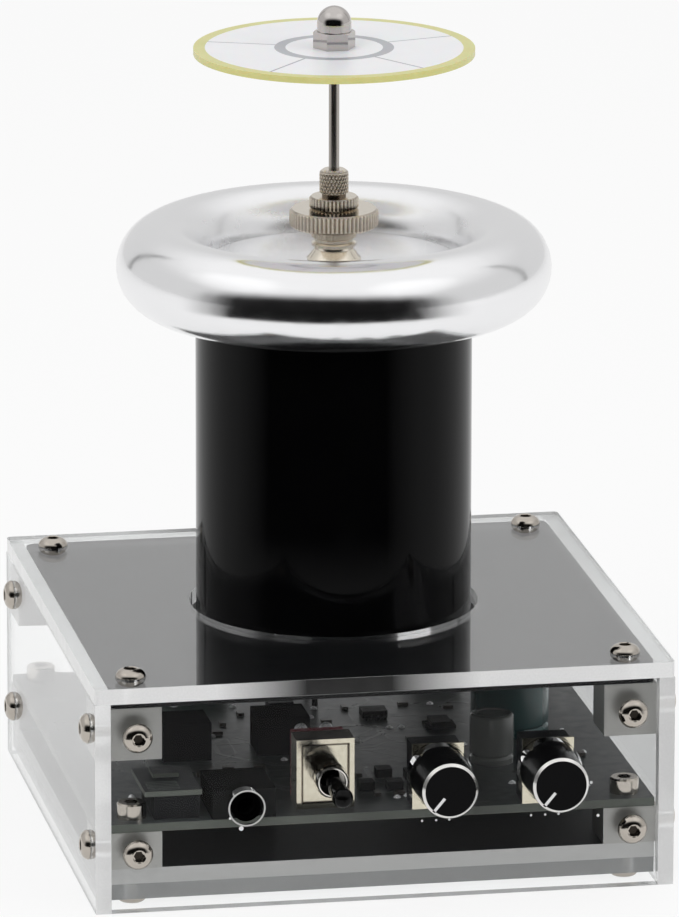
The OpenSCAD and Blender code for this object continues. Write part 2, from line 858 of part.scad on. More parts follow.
// Front plate whose two ears fold back along the body
module pot_plate(x) {
    difference() {
        union() {
            translate([x - pot_w / 2, plate_y, board_top])
                cube([pot_w, pot_plate_t, pot_body_h]);
            for (s = [-1, 1])
                translate([x + s * (pot_w - pot_ear_t) / 2 - pot_ear_t / 2, plate_y,
                           board_top + pot_ear_z])
                    cube([pot_ear_t, pot_ear_l, pot_ear_h]);
        }
        translate([x, plate_y + pot_plate_t / 2, shaft_z]) rotate([90, 0, 0])
            cylinder(d = shaft_d + 2 * running_gap, h = pot_plate_t + 2 * cut, center = true);
    }
}

module pot_plates() {
    color("tan") {
        pot_plate(volume_x);
        pot_plate(rate_x);
    }
}

module control_shaft(x) {
    y0 = plate_y + pot_plate_t + shaft_bed - 0.1;
    color("silver") translate([x, y0, shaft_z]) rotate([90, 0, 0])
        cylinder(d = shaft_d, h = y0 - shaft_end_y);
}

// Knob on its shaft, with a bright bevel and a pointer groove on its face
module knob(x) {
    length = knob_reach + knob_behind;
    bevel = 0.5;
    color("black") translate([x, knob_back_y, shaft_z]) rotate([90, 0, 0]) difference() {
        rotate_extrude() polygon([
            [0, 0], [knob_d / 2, 0], [knob_front_d / 2, length - bevel],
            [knob_front_d / 2 - bevel, length], [0, length]
        ]);
        translate([0, 0, -cut])
            cylinder(d = shaft_d + 2 * press_gap, h = knob_back_y - shaft_end_y + cut);
        rotate([0, 0, -90 - pointer_angle])
            translate([knob_front_d * 0.16, -pointer_w / 2, length - pointer_depth])
                cube([knob_front_d / 2, pointer_w, pointer_depth + cut]);
    }
}

module volume_shaft() {
    control_shaft(volume_x);
}

module volume_knob() {
    knob(volume_x);
}

module rate_shaft() {
    control_shaft(rate_x);
}

module rate_knob() {
    knob(rate_x);
}

// ---- What stands on the main board ----

module wireless_module() {
    chip = [5, 5, 0.9];
    color("midnightblue") translate([module_at[0], module_at[1], board_top + module_lift]) {
        translate([-module_w / 2, -module_l / 2, 0]) cube([module_w, module_l, module_t]);
        translate([-chip[0] / 2, 1, module_t - 0.1]) cube(chip);
    }
}

module module_header() {
    inset = 0.4;
    right = module_at[0] + module_w / 2 - inset;
    color("black") translate([right - header_w, module_at[1] - module_l / 2 + inset, board_top])
        cube([header_w, module_l - 2 * inset, module_lift]);
}

// Round can with a bead near its foot and a rounded top edge
module capacitor(d, h) {
    r = d / 2;
    rim = 0.6;
    rotate_extrude() polygon([
        [0, 0], [r, 0], [r, 1], [r - 0.4, 1.5], [r, 2], [r, h - rim],
        for (a = [15:15:75]) [r - rim + rim * cos(a), h - rim + rim * sin(a)],
        [r - rim, h], [r - 1.2, h], [r - 1.2, h - 0.2], [0, h - 0.2]
    ]);
}

module smoothing_capacitor() {
    color("gray") translate([small_can_at[0], small_can_at[1], board_top])
        capacitor(small_can_d, small_can_h);
}

module bus_capacitor() {
    color("teal") translate([large_can_at[0], large_can_at[1], board_top])
        capacitor(large_can_d, large_can_h);
}

// Box film capacitors of the tuned circuit
module tank_capacitors() {
    color("dimgray")
    for (b = films)
        translate([b[0] - b[2] / 2, b[1] - film_l / 2, board_top]) cube([b[2], film_l, film_h]);
}

// Body of a chip with a row of legs down two sides
module chip(pins) {
    foot = 1.1;
    translate([-chip_w / 2, -chip_l / 2, 0.15]) cube([chip_w, chip_l, chip_h]);
    for (s = [-1, 1], i = [0:pins - 1])
        translate([s * (chip_w / 2 + 0.45) - foot / 2,
                   (i - (pins - 1) / 2) * chip_pitch - 0.2, 0])
            cube([foot, 0.4, chip_h / 2]);
}

// Chips, and the small inductors of their supply
module driver_chips() {
    color("black") {
        for (p = chips) translate([p[0], p[1], board_top]) rotate([0, 0, p[2]]) chip(4);
        for (p = inductors) translate([p[0] - inductor_w / 2, p[1] - inductor_w / 2, board_top])
            cube([inductor_w, inductor_w, inductor_h]);
    }
}

module surface_parts() {
    color("sienna") for (s = smalls)
        translate([s[0], s[1], board_top]) rotate([0, 0, s[2]])
            translate([-small_l / 2, -small_w / 2, 0]) cube([small_l, small_w, small_h]);
}

// Power transistors lie on the heat spreader with their legs bent up
module power_transistors() {
    body = [transistor_w, transistor_l, transistor_t];
    leg = [1.2, 0.8];
    leg_z = transistor_t * 0.4;
    color("black")
    for (x = [-1, 1], y = [-1, 1])
        translate([x * transistor_at[0], y * transistor_at[1], low_block_z]) {
            translate([-body[0] / 2, -body[1] / 2, 0]) cube(body);
            for (k = [-1, 0, 1]) translate([k * leg_pitch - leg[0] / 2, body[1] / 2, leg_z]) {
                translate([0, -cut, 0]) cube([leg[0], cut + 2 * leg[1], leg[1]]);
                translate([0, leg[1], 0]) cube([leg[0], leg[1], low_block_h - leg_z]);
            }
        }
}

// Ferrite ring of the gate drive
module gate_transformer() {
    wall_w = ferrite_d / 4;
    color("darkgreen") translate([ferrite_at[0], ferrite_at[1], board_top])
        rotate_extrude() translate([ferrite_d / 2 - wall_w, 0]) square([wall_w, ferrite_h]);
}

// ---- Coil ----

// Start lead of the coil and the two leads of the primary
module coil_leads() {
    color("red") {
        translate([0, coil_lead_y, board_top])
            cylinder(d = lead_d, h = coil_z + winding_margin - board_top);
        for (y = primary_ends) translate([0, y, board_top])
            cylinder(d = lead_d, h = primary_z - primary_copper - board_top);
    }
}

module coil_screw() {
    color("silver") translate([0, 0, primary_z]) rotate([180, 0, 0])
        button_screw(primary_t + cap_plug - 1);
}

module bottom_cap() {
    color("ivory") difference() {
        translate([0, 0, coil_z]) cylinder(r = former_in - layer_gap, h = cap_plug);
        translate([0, 0, coil_z - cut]) cylinder(d = tapped_d, h = cap_plug - 0.6 + cut);
        translate([0, coil_lead_y, 0])
            drill(lead_d + 2 * lead_gap, coil_z, coil_z + cap_plug);
    }
}

// Tube between two radii and two heights
module tube(r_in, r_out, z0, z1) {
    translate([0, 0, z0]) difference() {
        cylinder(r = r_out, h = z1 - z0, $fn = 96);
        translate([0, 0, -cut]) cylinder(r = r_in, h = z1 - z0 + 2 * cut, $fn = 96);
    }
}

module coil_former() {
    color("ivory") tube(former_in, former_r, coil_z, former_top);
}

module secondary_winding() {
    color("firebrick") tube(former_r + layer_gap, winding_r, coil_z + winding_margin,
                            former_top - winding_margin);
}

module coil_sleeve() {
    color([0.04, 0.04, 0.05]) tube(coil_r - sleeve_t, coil_r, coil_z, coil_top);
}

module top_cap() {
    color("black") difference() {
        union() {
            translate([0, 0, former_top]) cylinder(r = coil_r - sleeve_t - layer_gap, h = cap_t);
            translate([0, 0, former_top - cap_plug])
                cylinder(r = former_in - layer_gap, h = cap_plug + 0.1);
            translate([0, 0, coil_top - 0.1]) cylinder(d = boss_d, h = dish_z - coil_top + 0.1);
        }
        translate([0, 0, former_top - cap_plug - cut])
            cylinder(r = former_in - former_wall, h = cap_plug + cut);
        drill(stud_d + 2 * running_gap, former_top - cap_plug, dish_z);
    }
}

// ---- Toroid ----

module toroid() {
    slot = dish_t + 2 * press_gap;
    color("gainsboro") translate([0, 0, toroid_z]) rotate_extrude($fn = 96)
        difference() {
            translate([ring_c, 0]) circle(r = ring_r);
            translate([ring_c, 0]) circle(r = ring_r - ring_wall);
            translate([ring_c - ring_r - cut, dish_rise - dish_t - press_gap])
                square([ring_wall + 3 * cut, slot]);
        }
}

module toroid_plate() {
    color("gainsboro") difference() {
        translate([0, 0, dish_z]) cylinder(r = dish_r, h = dish_t, $fn = 96);
        drill(stud_d + 2 * running_gap, dish_z, dish_top);
    }
}

// ---- Terminal ----

// Turned foot with two grooves, and the stud that runs through everything
module terminal_post() {
    color("wheat") {
        translate([0, 0, dish_top]) rotate_extrude() polygon([
            [0, 0], for (p = foot_outline) [p[0] * foot_d / 2, p[1] * foot_h], [0, foot_h]
        ]);
        translate([0, 0, stud_bottom]) cylinder(d = stud_d, h = stud_top - stud_bottom);
    }
}

// Six-sided nut that clamps the terminal under the coil's cap
module clamp_nut() {
    color("silver") translate([0, 0, former_top - nut_h - press_gap]) difference() {
        cylinder(d = nut_af * hex_k, h = nut_h, $fn = 6);
        drill(stud_d + 2 * running_gap, 0, nut_h);
    }
}

// Straight knurl: V-shaped teeth, bevelled at both ends, round a threaded hole
module knurled_nut(d, h, teeth, bevel) {
    r = d / 2;
    difference() {
        intersection() {
            linear_extrude(h) polygon([
                for (i = [0:teeth - 1], k = [0, 1])
                    let (a = 360 * (i + k / 2) / teeth, rr = r - k * knurl_depth)
                    [rr * cos(a), rr * sin(a)]
            ]);
            rotate_extrude() polygon([
                [0, 0], [r - bevel, 0], [r + 0.01, bevel + 0.01],
                [r + 0.01, h - bevel - 0.01], [r - bevel, h], [0, h]
            ]);
        }
        drill(stud_d + 2 * running_gap, 0, h);
    }
}

module thumb_nut() {
    color("wheat") translate([0, 0, foot_top])
        knurled_nut(thumb_d, thumb_h, thumb_teeth, 0.5);
}

module lock_nut() {
    color("wheat") translate([0, 0, thumb_top])
        knurled_nut(lock_d, lock_h, lock_teeth, 0.4);
}

module chuck() {
    r = chuck_d / 2;
    color("wheat") translate([0, 0, lock_top]) difference() {
        rotate_extrude() polygon([
            [0, 0], [r - 0.5, 0], [r - 0.5, 0.5], [r, 0.7], [r, chuck_h - 0.9],
            [r - 0.2, chuck_h - 0.3], [r - 0.9, chuck_h], [0, chuck_h]
        ]);
        drill(needle_d + 2 * press_gap, 0, chuck_h);
    }
}

module needle() {
    point = 1.6;
    color("dimgray") {
        translate([0, 0, lock_top]) cylinder(d = needle_d, h = needle_tip - point - lock_top);
        translate([0, 0, needle_tip - point]) cylinder(d1 = needle_d, d2 = 0.3, h = point);
    }
}

// ---- Spinning disc ----

module spinner_disc() {
    color("ivory") difference() {
        translate([0, 0, disc_z]) cylinder(d = disc_d, h = disc_t, $fn = 96);
        drill(bush_d + 2 * press_gap, disc_z, disc_top);
    }
}

// Flanged bush: its blind bore runs on the needle's point
module bearing_bush() {
    color("gold") difference() {
        union() {
            translate([0, 0, bush_z]) cylinder(d = bush_flange_d, h = bush_flange_t);
            translate([0, 0, bush_z]) cylinder(d = bush_d, h = bush_top - bush_z);
        }
        translate([0, 0, bush_z - cut])
            cylinder(d = needle_d + 2 * running_gap, h = bush_bore_h + cut);
    }
}

module dome_nut() {
    r = dome_af / 2 - 0.25;
    color("silver") translate([0, 0, disc_top]) difference() {
        union() {
            intersection() {
                cylinder(d = dome_af * hex_k, h = dome_hex_h, $fn = 6);
                cylinder(d1 = dome_af * hex_k + 2 * dome_hex_h * 1.7 - 0.6,
                         d2 = dome_af * hex_k - 0.6, h = dome_hex_h);
            }
            cylinder(r = r, h = dome_h - r);
            translate([0, 0, dome_h - r]) sphere(r);
        }
        translate([0, 0, -cut]) cylinder(d = bush_d + 2 * press_gap, h = bush_top - disc_top + 0.1 + cut);
    }
}

top_plate();
front_panel();
back_panel();
left_panel();
right_panel();
bottom_plate();
heat_spreader();
upper_blocks();
lower_blocks();
top_screws();
front_screws();
back_screws();
left_screws();
right_screws();
bottom_screws();
board_screws();
main_board();
primary_board();
primary_coil();
audio_jack();
power_inlet();
inlet_pin();
toggle_body();
toggle_frame();
toggle_bushing();
toggle_lever();
lever_cap();
pot_bodies();
pot_plates();
volume_shaft();
volume_knob();
rate_shaft();
rate_knob();
wireless_module();
module_header();
smoothing_capacitor();
bus_capacitor();
tank_capacitors();
driver_chips();
surface_parts();
power_transistors();
gate_transformer();
coil_leads();
coil_screw();
bottom_cap();
coil_former();
secondary_winding();
coil_sleeve();
top_cap();
toroid();
toroid_plate();
terminal_post();
clamp_nut();
thumb_nut();
lock_nut();
chuck();
needle();
spinner_disc();
bearing_bush();
dome_nut();
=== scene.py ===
import math
import random

import bmesh
import bpy
from mathutils import Matrix, Vector


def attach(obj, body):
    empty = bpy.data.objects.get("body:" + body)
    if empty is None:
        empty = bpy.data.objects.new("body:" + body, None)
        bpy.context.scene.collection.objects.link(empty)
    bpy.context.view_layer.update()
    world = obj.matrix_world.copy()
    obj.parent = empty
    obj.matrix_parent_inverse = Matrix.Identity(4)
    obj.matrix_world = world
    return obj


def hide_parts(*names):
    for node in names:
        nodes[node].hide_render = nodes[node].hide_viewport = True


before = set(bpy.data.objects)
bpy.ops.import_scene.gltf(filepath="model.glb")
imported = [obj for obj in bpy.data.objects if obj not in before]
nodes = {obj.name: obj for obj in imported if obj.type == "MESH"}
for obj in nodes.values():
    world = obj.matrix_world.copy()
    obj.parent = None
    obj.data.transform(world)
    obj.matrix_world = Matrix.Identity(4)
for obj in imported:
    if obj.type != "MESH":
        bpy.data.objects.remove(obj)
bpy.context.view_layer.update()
rng = random.Random(7)
MM = 0.001

# Sizes that repeat the CAD's, in millimetres
SIDE = 55.0  # from the middle to the outside of a wall
WALL = 3.0
PANEL_Z, PANEL_HALF = 21.0, 18.5  # just inside the wall panels' lower and upper edges
BOARD_TOP = 16.4
MODULE_H = 5.6  # from the main board to the top of the wireless module
TOP = 43.5
SCREW = 47.0  # from the middle to a corner screw
SCREW_Z = (11.3, 33.9)
JACK = (-26.4, 19.2)  # x and z on the front panel
TOGGLE = (-10.3, 23.6)
PLATE_LOW, PLATE_HIGH, PLATE_HALF = BOARD_TOP + 1.0, BOARD_TOP + 12.4, 4.5  # the switch's
VOLUME_X, RATE_X, SHAFT_Z = 10.4, 31.4, 23.3
KNOB_FACE = 64.5
LOCK_TOP, CHUCK_H, CHUCK_R = 122.6, 5.2, 2.8
RING_C = 32.75  # radius of the toroid's middle line

# Looks that more than one place needs
FLOOR_WHITE = (0.86, 0.86, 0.86)
DARK_TURN = 16.0  # degrees from -Y to the middle of the room's dark side


# ---------------------------------------------------------------- materials
class Tree:
    """Small helpers for the node tree of a material or of the world."""

    def __init__(self, tree):
        self.nodes, self.links = tree.nodes, tree.links

    def node(self, kind, **props):
        n = self.nodes.new(kind)
        for k, v in props.items():
            setattr(n, k, v)
        return n

    def put(self, socket, value):
        """Sets a socket to a number or a colour, or links it to another socket."""
        if isinstance(value, (int, float)):
            socket.default_value = value
        elif isinstance(value, tuple):
            socket.default_value = (*value, 1.0)
        else:
            self.links.new(value, socket)

    def math(self, op, a, b=0.0):
        n = self.node("ShaderNodeMath", operation=op)
        self.put(n.inputs[0], a)
        self.put(n.inputs[1], b)
        return n.outputs[0]

    def inverse(self, value):
        return self.math("SUBTRACT", 1.0, value)

    def length(self, a, b):
        return self.math("SQRT", self.math("ADD", self.math("MULTIPLY", a, a),
                                           self.math("MULTIPLY", b, b)))

    def band(self, value, lo, hi, out_lo=0.0, out_hi=1.0, kind="LINEAR"):
        """out_lo below lo, out_hi above hi and a ramp between them."""
        n = self.node("ShaderNodeMapRange", interpolation_type=kind)
        for i, v in enumerate((value, lo, hi, out_lo, out_hi)):
            self.put(n.inputs[i], v)
        return n.outputs[0]


class Mat(Tree):
    """A material round one principled shader."""

    def __init__(self, name, **sockets):
        self.m = bpy.data.materials.new(name)
        self.m.use_nodes = True
        super().__init__(self.m.node_tree)
        self.bsdf = self.nodes["Principled BSDF"]
        names = {"rough": "Roughness", "metal": "Metallic", "ior": "IOR",
                 "spec": "Specular IOR Level", "sss": "Subsurface Weight",
                 "sss_scale": "Subsurface Scale"}
        for k, v in sockets.items():
            self.put(self.bsdf.inputs[names[k]], v)

    def coord(self, scale=(1, 1, 1)):
        out = self.node("ShaderNodeTexCoord").outputs["Object"]
        if tuple(scale) == (1, 1, 1):
            return out
        m = self.node("ShaderNodeMapping")
        m.inputs["Scale"].default_value = scale
        self.links.new(out, m.inputs["Vector"])
        return m.outputs["Vector"]

    def xyz(self):
        s = self.node("ShaderNodeSeparateXYZ")
        self.links.new(self.coord(), s.inputs[0])
        return s.outputs

    def normal(self):
        s = self.node("ShaderNodeSeparateXYZ")
        self.links.new(self.node("ShaderNodeTexCoord").outputs["Normal"], s.inputs[0])
        return s.outputs

    def radius(self):
        """Distance from the Z axis."""
        x, y, _ = self.xyz()
        return self.length(x, y)

    def noise(self, size_mm, detail=3.0, stretch=(1, 1, 1)):
        n = self.node("ShaderNodeTexNoise")
        n.inputs["Scale"].default_value = 1.0 / (size_mm * MM)
        n.inputs["Detail"].default_value = detail
        self.links.new(self.coord(stretch), n.inputs["Vector"])
        return n.outputs["Fac"]

    def mix(self, fac, a, b):
        n = self.node("ShaderNodeMix", data_type="RGBA")
        self.put(n.inputs[0], fac)
        self.put(n.inputs[6], a)
        self.put(n.inputs[7], b)
        return n.outputs[2]

    def bump(self, height, depth_mm, strength=1.0):
        n = self.node("ShaderNodeBump")
        n.inputs["Strength"].default_value = strength
        n.inputs["Distance"].default_value = depth_mm * MM
        self.links.new(height, n.inputs["Height"])
        self.links.new(n.outputs[0], self.bsdf.inputs["Normal"])

    def feed(self, name, value):
        self.put(self.bsdf.inputs[name], value)

    def feed_rough(self, size_mm, low, high):
        """Roughness that drifts between two values."""
        self.feed("Roughness", self.band(self.noise(size_mm, 3.0), 0.3, 0.7, low, high))


def mix_shaders(tree, fac, a, b):
    """Shader a where fac is 0 and b where it is 1."""
    n = tree.node("ShaderNodeMixShader")
    for i, value in enumerate((fac, a, b)):
        tree.put(n.inputs[i], value)
    return n.outputs[0]


def tint(c, k):
    """A colour times k."""
    return tuple(min(1.0, v * k) for v in c)


def varied(name, color, rough, size=1.2, spread=0.12, rough_spread=0.08, bump=0.0, bump_size=0.4,
           stretch=(1, 1, 1), **sockets):
    """Base colour, roughness and relief that all vary a little over the surface."""
    m = Mat(name, **sockets)
    n = m.noise(size, 4.0, stretch)
    m.feed("Base Color", m.mix(n, tint(color, 1 - spread), tint(color, 1 + spread)))
    m.feed("Roughness", m.band(m.noise(size * 0.6, 3.0, stretch), 0.3, 0.7,
                               max(0.0, rough - rough_spread), rough + rough_spread))
    if bump:
        m.bump(m.noise(bump_size, 4.0, stretch), bump)
    return m


def acrylic(name, axis, ior, glow=0.95, edge_clear=0.5, shaded=False):
    """Clear sheet, square to one axis, that lets lamps through, so that what it covers is lit.
    Its sawn outer edges are frosted white, also a painted glow for the light that the sheet
    carries, but its bores are not. Where it is shaded, a painted shade darkens the middle of
    the front and back edges, as the black coil in its hole keeps that light from them."""
    shade_x, shade_from, shade_to = -7.0, 8.0, 25.0
    m = Mat(name, ior=ior)
    x, y, z = m.xyz()
    far, across, along = (SIDE - WALL - 0.5) * MM, m.math("ABSOLUTE", x), m.math("ABSOLUTE", y)
    if axis < 2:
        height = m.math("ABSOLUTE", m.math("SUBTRACT", z, PANEL_Z * MM))
        outer = m.math("MAXIMUM", m.math("GREATER_THAN", (along, across)[axis], far),
                       m.math("GREATER_THAN", height, PANEL_HALF * MM))
    else:
        outer = m.math("GREATER_THAN", m.math("MAXIMUM", across, along), far)
    edge = m.inverse(m.band(m.math("ABSOLUTE", m.normal()[axis]), 0.6, 0.9))
    face = m.inverse(m.math("MULTIPLY", edge, outer))
    n = m.noise(3.0, 3.0)
    grain = m.noise(0.35, 2.0)
    smooth = m.band(n, 0.45, 0.8, 0.0, 0.015)
    sawn = m.band(n, 0.3, 0.7, 0.10, 0.22)
    m.feed("Roughness", m.math("ADD", m.math("MULTIPLY", face, smooth),
                               m.math("MULTIPLY", m.inverse(face), sawn)))
    m.feed("Transmission Weight", m.band(face, 0.0, 1.0, edge_clear, 1.0))
    # Frosted white on the sawn edges, brightened as a painted glow of the light the sheet carries
    frosted_edge_glow = m.mix(grain, tint((glow, glow, glow), 0.85), tint((glow, glow, glow), 1.05))
    # Painted shade: the middle of the front and back edges turns near black where the coil blocks
    # the light
    if shaded:
        away = m.math("ABSOLUTE", m.math("SUBTRACT", x, shade_x * MM))
        shade = m.band(away, shade_from * MM, shade_to * MM, 1.0, 0.0)
        frosted_edge_glow = m.mix(shade, frosted_edge_glow, (0.006, 0.006, 0.006))
    m.feed("Base Color", m.mix(face, frosted_edge_glow, (0.985, 0.99, 0.99)))
    path = m.node("ShaderNodeLightPath")
    clear = m.node("ShaderNodeBsdfTransparent")
    clear.inputs["Color"].default_value = (0.93, 0.95, 0.95, 1.0)
    m.put(m.nodes["Material Output"].inputs["Surface"],
          mix_shaders(m, path.outputs["Is Shadow Ray"], m.bsdf.outputs[0], clear.outputs[0]))
    return m


def metal(name, color, rough, grain=(1, 1, 1), size=0.8, bump=0.004, spread=0.06,
          rough_spread=0.06):
    return varied(name, color, rough, size=size, spread=spread, rough_spread=rough_spread,
                  bump=bump, bump_size=size * 0.35, stretch=grain, metal=1.0)


def plastic(name, color, rough, bump=0.01, spread=0.15, **sockets):
    return varied(name, color, rough, size=1.5, spread=spread, bump=bump, bump_size=0.25, **sockets)


def board_material(name, color, rough):
    """Solder mask with a weave that barely shows through, and paler cut edges."""
    m = Mat(name, spec=0.3)
    weave = m.node("ShaderNodeTexChecker")
    weave.inputs["Scale"].default_value = 1.0 / (0.5 * MM)
    m.links.new(m.coord(), weave.inputs["Vector"])
    blotch = m.noise(5.0, 4.0)
    base = m.mix(blotch, tint(color, 0.85), tint(color, 1.18))
    flat = m.mix(m.math("MULTIPLY", weave.outputs["Fac"], 0.12), base, tint(color, 1.6))
    cut = m.band(m.math("ABSOLUTE", m.normal()[2]), 0.4, 0.6, 1.0, 0.0)
    m.feed("Base Color", m.mix(cut, flat, (0.085, 0.092, 0.080)))
    m.feed_rough(2.0, rough - 0.05, rough + 0.07)
    m.bump(m.noise(0.6, 3.0), 0.001)
    return m


def edge_sheet(name, face, edge, rough):
    """Flat sheet whose faces are dark and whose cut edges are bright."""
    m = Mat(name, metal=1.0)
    up = m.math("ABSOLUTE", m.normal()[2])
    n = m.noise(1.2, 4.0, (0.15, 1, 1))
    flat = m.mix(n, tint(face, 0.85), tint(face, 1.15))
    cut = m.mix(n, tint(edge, 0.93), tint(edge, 1.05))
    m.feed("Base Color", m.mix(m.band(up, 0.4, 0.6), cut, flat))
    m.feed_rough(0.6, rough - 0.08, rough + 0.08)
    m.bump(m.noise(0.3, 4.0, (0.15, 1, 1)), 0.006)
    return m


def disc_material():
    """White print on a yellow-green laminate, with a grey ring and thin rays."""
    print_r, ring_in, ring_out, ray_half, rays = 24.4, 9.2, 11.3, 0.22, 5
    m = Mat("disc_laminate", rough=0.32, spec=0.5, sss=0.15, sss_scale=0.002)
    x, y, _ = m.xyz()
    r = m.length(x, y)
    inside = m.math("LESS_THAN", r, print_r * MM)
    up = m.math("GREATER_THAN", m.math("ABSOLUTE", m.normal()[2]), 0.5)
    laminate = m.mix(m.noise(3.0, 3.0), (0.60, 0.585, 0.20), (0.71, 0.69, 0.31))
    white = m.mix(m.noise(6.0, 3.0), (0.84, 0.85, 0.87), (0.90, 0.90, 0.92))
    ring = m.math("MULTIPLY", m.math("GREATER_THAN", r, ring_in * MM),
                  m.math("LESS_THAN", r, ring_out * MM))
    # Turn within a sector, 0.5 on its ray; 0.3 of a sector turns the rays to the photo's places
    sector = 2 * math.pi / rays
    turn = m.math("FRACT", m.math("ADD", m.math("DIVIDE", m.math("ARCTAN2", y, x), sector),
                                  rays + 0.3))
    off = m.math("MULTIPLY", m.math("ABSOLUTE", m.math("SUBTRACT", turn, 0.5)), sector)
    ray = m.math("LESS_THAN", m.math("MULTIPLY", off, r), ray_half * MM)
    ray = m.math("MULTIPLY", ray, m.math("GREATER_THAN", r, ring_out * MM))
    ink = m.mix(ring, white, (0.42, 0.43, 0.46))
    ink = m.mix(ray, ink, (0.36, 0.36, 0.40))
    face = m.mix(m.math("MULTIPLY", inside, up), laminate, ink)
    m.feed("Base Color", face)
    m.bump(m.noise(0.5, 3.0), 0.004)
    return m


def spun_material(name, color, rough, lines, inner=0.0):
    """Spun and polished sheet: fine rings from the lathe, a soft sheen and a slight wobble.
    The inner half, which a polishing wheel hardly reaches, is rougher by inner."""
    m = Mat(name, metal=1.0)
    x, y, z = m.xyz()
    r = m.length(x, y)
    ring = m.node("ShaderNodeCombineXYZ")
    m.put(ring.inputs[0], r)
    m.put(ring.inputs[1], z)
    m.put(ring.inputs[2], m.math("MULTIPLY", m.math("ARCTAN2", y, x), 0.0012))
    fine = m.node("ShaderNodeTexNoise")
    fine.inputs["Scale"].default_value = 1.0 / (0.22 * MM)
    fine.inputs["Detail"].default_value = 3.0
    m.links.new(ring.outputs[0], fine.inputs["Vector"])
    n = fine.outputs["Fac"]
    m.feed("Base Color", m.mix(n, tint(color, 0.975), tint(color, 1.015)))
    dull = m.band(r, (RING_C - 6) * MM, RING_C * MM, inner, 0.0)
    polish = m.band(m.noise(4.0, 3.0), 0.3, 0.7, rough - 0.025, rough + 0.035)
    m.feed("Roughness", m.math("ADD", polish, dull))
    wobble = m.math("MULTIPLY", m.noise(9.0, 2.0), 0.09)
    m.bump(m.math("ADD", m.math("MULTIPLY", n, lines), wobble), 1.0)
    return m


def collar_material():
    """Nickel with a bright end, whose threaded barrel has painted shade: near black, lighter only
    on the crests of its ridges.
    """
    pitch = 0.64
    m = Mat("threaded_nickel", metal=1.0)
    end = m.band(m.math("ABSOLUTE", m.normal()[1]), 0.4, 0.6)
    ridge = m.math("FRACT", m.math("DIVIDE", m.xyz()[1], pitch * MM))
    ridge = m.band(m.math("ABSOLUTE", m.math("SUBTRACT", ridge, 0.5)), 0.1, 0.5, 0.25, 0.0)
    # Painted shade on the threaded barrel, lighter only on the ridge crests
    dark = m.mix(ridge, (0.015, 0.013, 0.011), (0.50, 0.47, 0.42))
    m.feed("Base Color", m.mix(end, dark, (0.76, 0.74, 0.70)))
    m.feed_rough(0.7, 0.12, 0.20)
    return m


def knurled(name, root, crest):
    """Nickel with painted shade in the grooves, between the radii of a knurl's roots and crests."""
    m = Mat(name, metal=1.0)
    flat = m.band(m.math("ABSOLUTE", m.normal()[2]), 0.6, 0.8)
    ridge = m.math("MAXIMUM", m.band(m.radius(), root * MM, crest * MM), flat)
    n = m.noise(0.8, 4.0)
    nickel = m.mix(n, (0.70, 0.63, 0.53), (0.84, 0.78, 0.68))
    # Painted shade in the grooves; the crests and flat faces keep the nickel
    m.feed("Base Color", m.mix(ridge, (0.20, 0.165, 0.13), nickel))
    m.feed("Roughness", m.band(n, 0.3, 0.7, 0.16, 0.24))
    return m


def knob_material():
    """Gloss black with a bright turned bevel round the front."""
    bevel_slope = -0.71
    m = Mat("knob_black", spec=0.06)
    lean = m.math("ABSOLUTE", m.math("SUBTRACT", m.normal()[1], bevel_slope))
    bevel = m.band(lean, 0.06, 0.12, 1.0, 0.0)
    n = m.noise(0.5, 4.0)
    black = m.mix(n, (0.002, 0.002, 0.0022), (0.004, 0.004, 0.0045))
    m.feed("Base Color", m.mix(bevel, black, (0.80, 0.79, 0.77)))
    m.feed("Metallic", bevel)
    m.feed("Roughness", m.band(n, 0.3, 0.7, 0.16, 0.24))
    return m


def frame_plate_material():
    """Tinned steel with painted shade in the step round the switch's sunk face and on its upward
    faces.
    """
    m = Mat("switch_plate", metal=1.0)
    x, _, z = m.xyz()
    across = m.math("ABSOLUTE", m.math("SUBTRACT", x, TOGGLE[0] * MM))
    along = m.math("ABSOLUTE", m.math("SUBTRACT", z, (PLATE_LOW + PLATE_HIGH) / 2 * MM))
    edge = m.math("MAXIMUM", m.math("SUBTRACT", across, PLATE_HALF * MM),
                  m.math("SUBTRACT", along, (PLATE_HIGH - PLATE_LOW) / 2 * MM))
    near = m.math("ABSOLUTE", m.math("ADD", edge, 0.12 * MM))
    # Painted shade along the step round the sunk face
    groove = m.band(near, 0.1 * MM, 0.3 * MM, 1.0, 0.0)
    front = m.math("GREATER_THAN", m.math("ABSOLUTE", m.normal()[1]), 0.5)
    groove = m.math("MULTIPLY", groove, front)
    n = m.noise(1.0, 4.0)
    tin = m.mix(n, (0.60, 0.55, 0.44), (0.74, 0.69, 0.57))
    # Painted shade on the upward faces as well
    above = m.band(m.normal()[2], 0.4, 0.6)
    m.feed("Base Color", m.mix(m.math("MAXIMUM", groove, above), tin, (0.10, 0.08, 0.06)))
    m.feed_rough(0.7, 0.10, 0.18)
    m.bump(m.noise(0.8, 2.0), 0.003)
    return m


def jack_material():
    """Matt black, with painted shade that makes the nose, which stands in the panel's hole,
    darkest.
    """
    m = Mat("jack_black", spec=0.0)
    nose = m.band(m.xyz()[1], -(SIDE - 1.5) * MM, -(SIDE - WALL) * MM)
    body = m.mix(m.noise(1.0, 4.0), (0.007, 0.007, 0.007), (0.010, 0.010, 0.010))
    # Painted shade on the nose in the panel's hole
    m.feed("Base Color", m.mix(nose, (0.0008, 0.0008, 0.0008), body))
    m.feed_rough(0.6, 0.40, 0.52)
    return m


def sleeve_material():
    """Gloss black shrink sleeve with faint long ripples."""
    m = Mat("gloss_black", ior=1.18)
    n = m.noise(3.0, 3.0, (1, 1, 0.12))
    m.feed("Base Color", m.mix(m.noise(12.0, 3.0), (0.0008, 0.0008, 0.0009),
                               (0.0016, 0.0016, 0.0018)))
    m.feed_rough(7.0, 0.04, 0.10)
    m.bump(n, 0.05, 0.35)
    return m


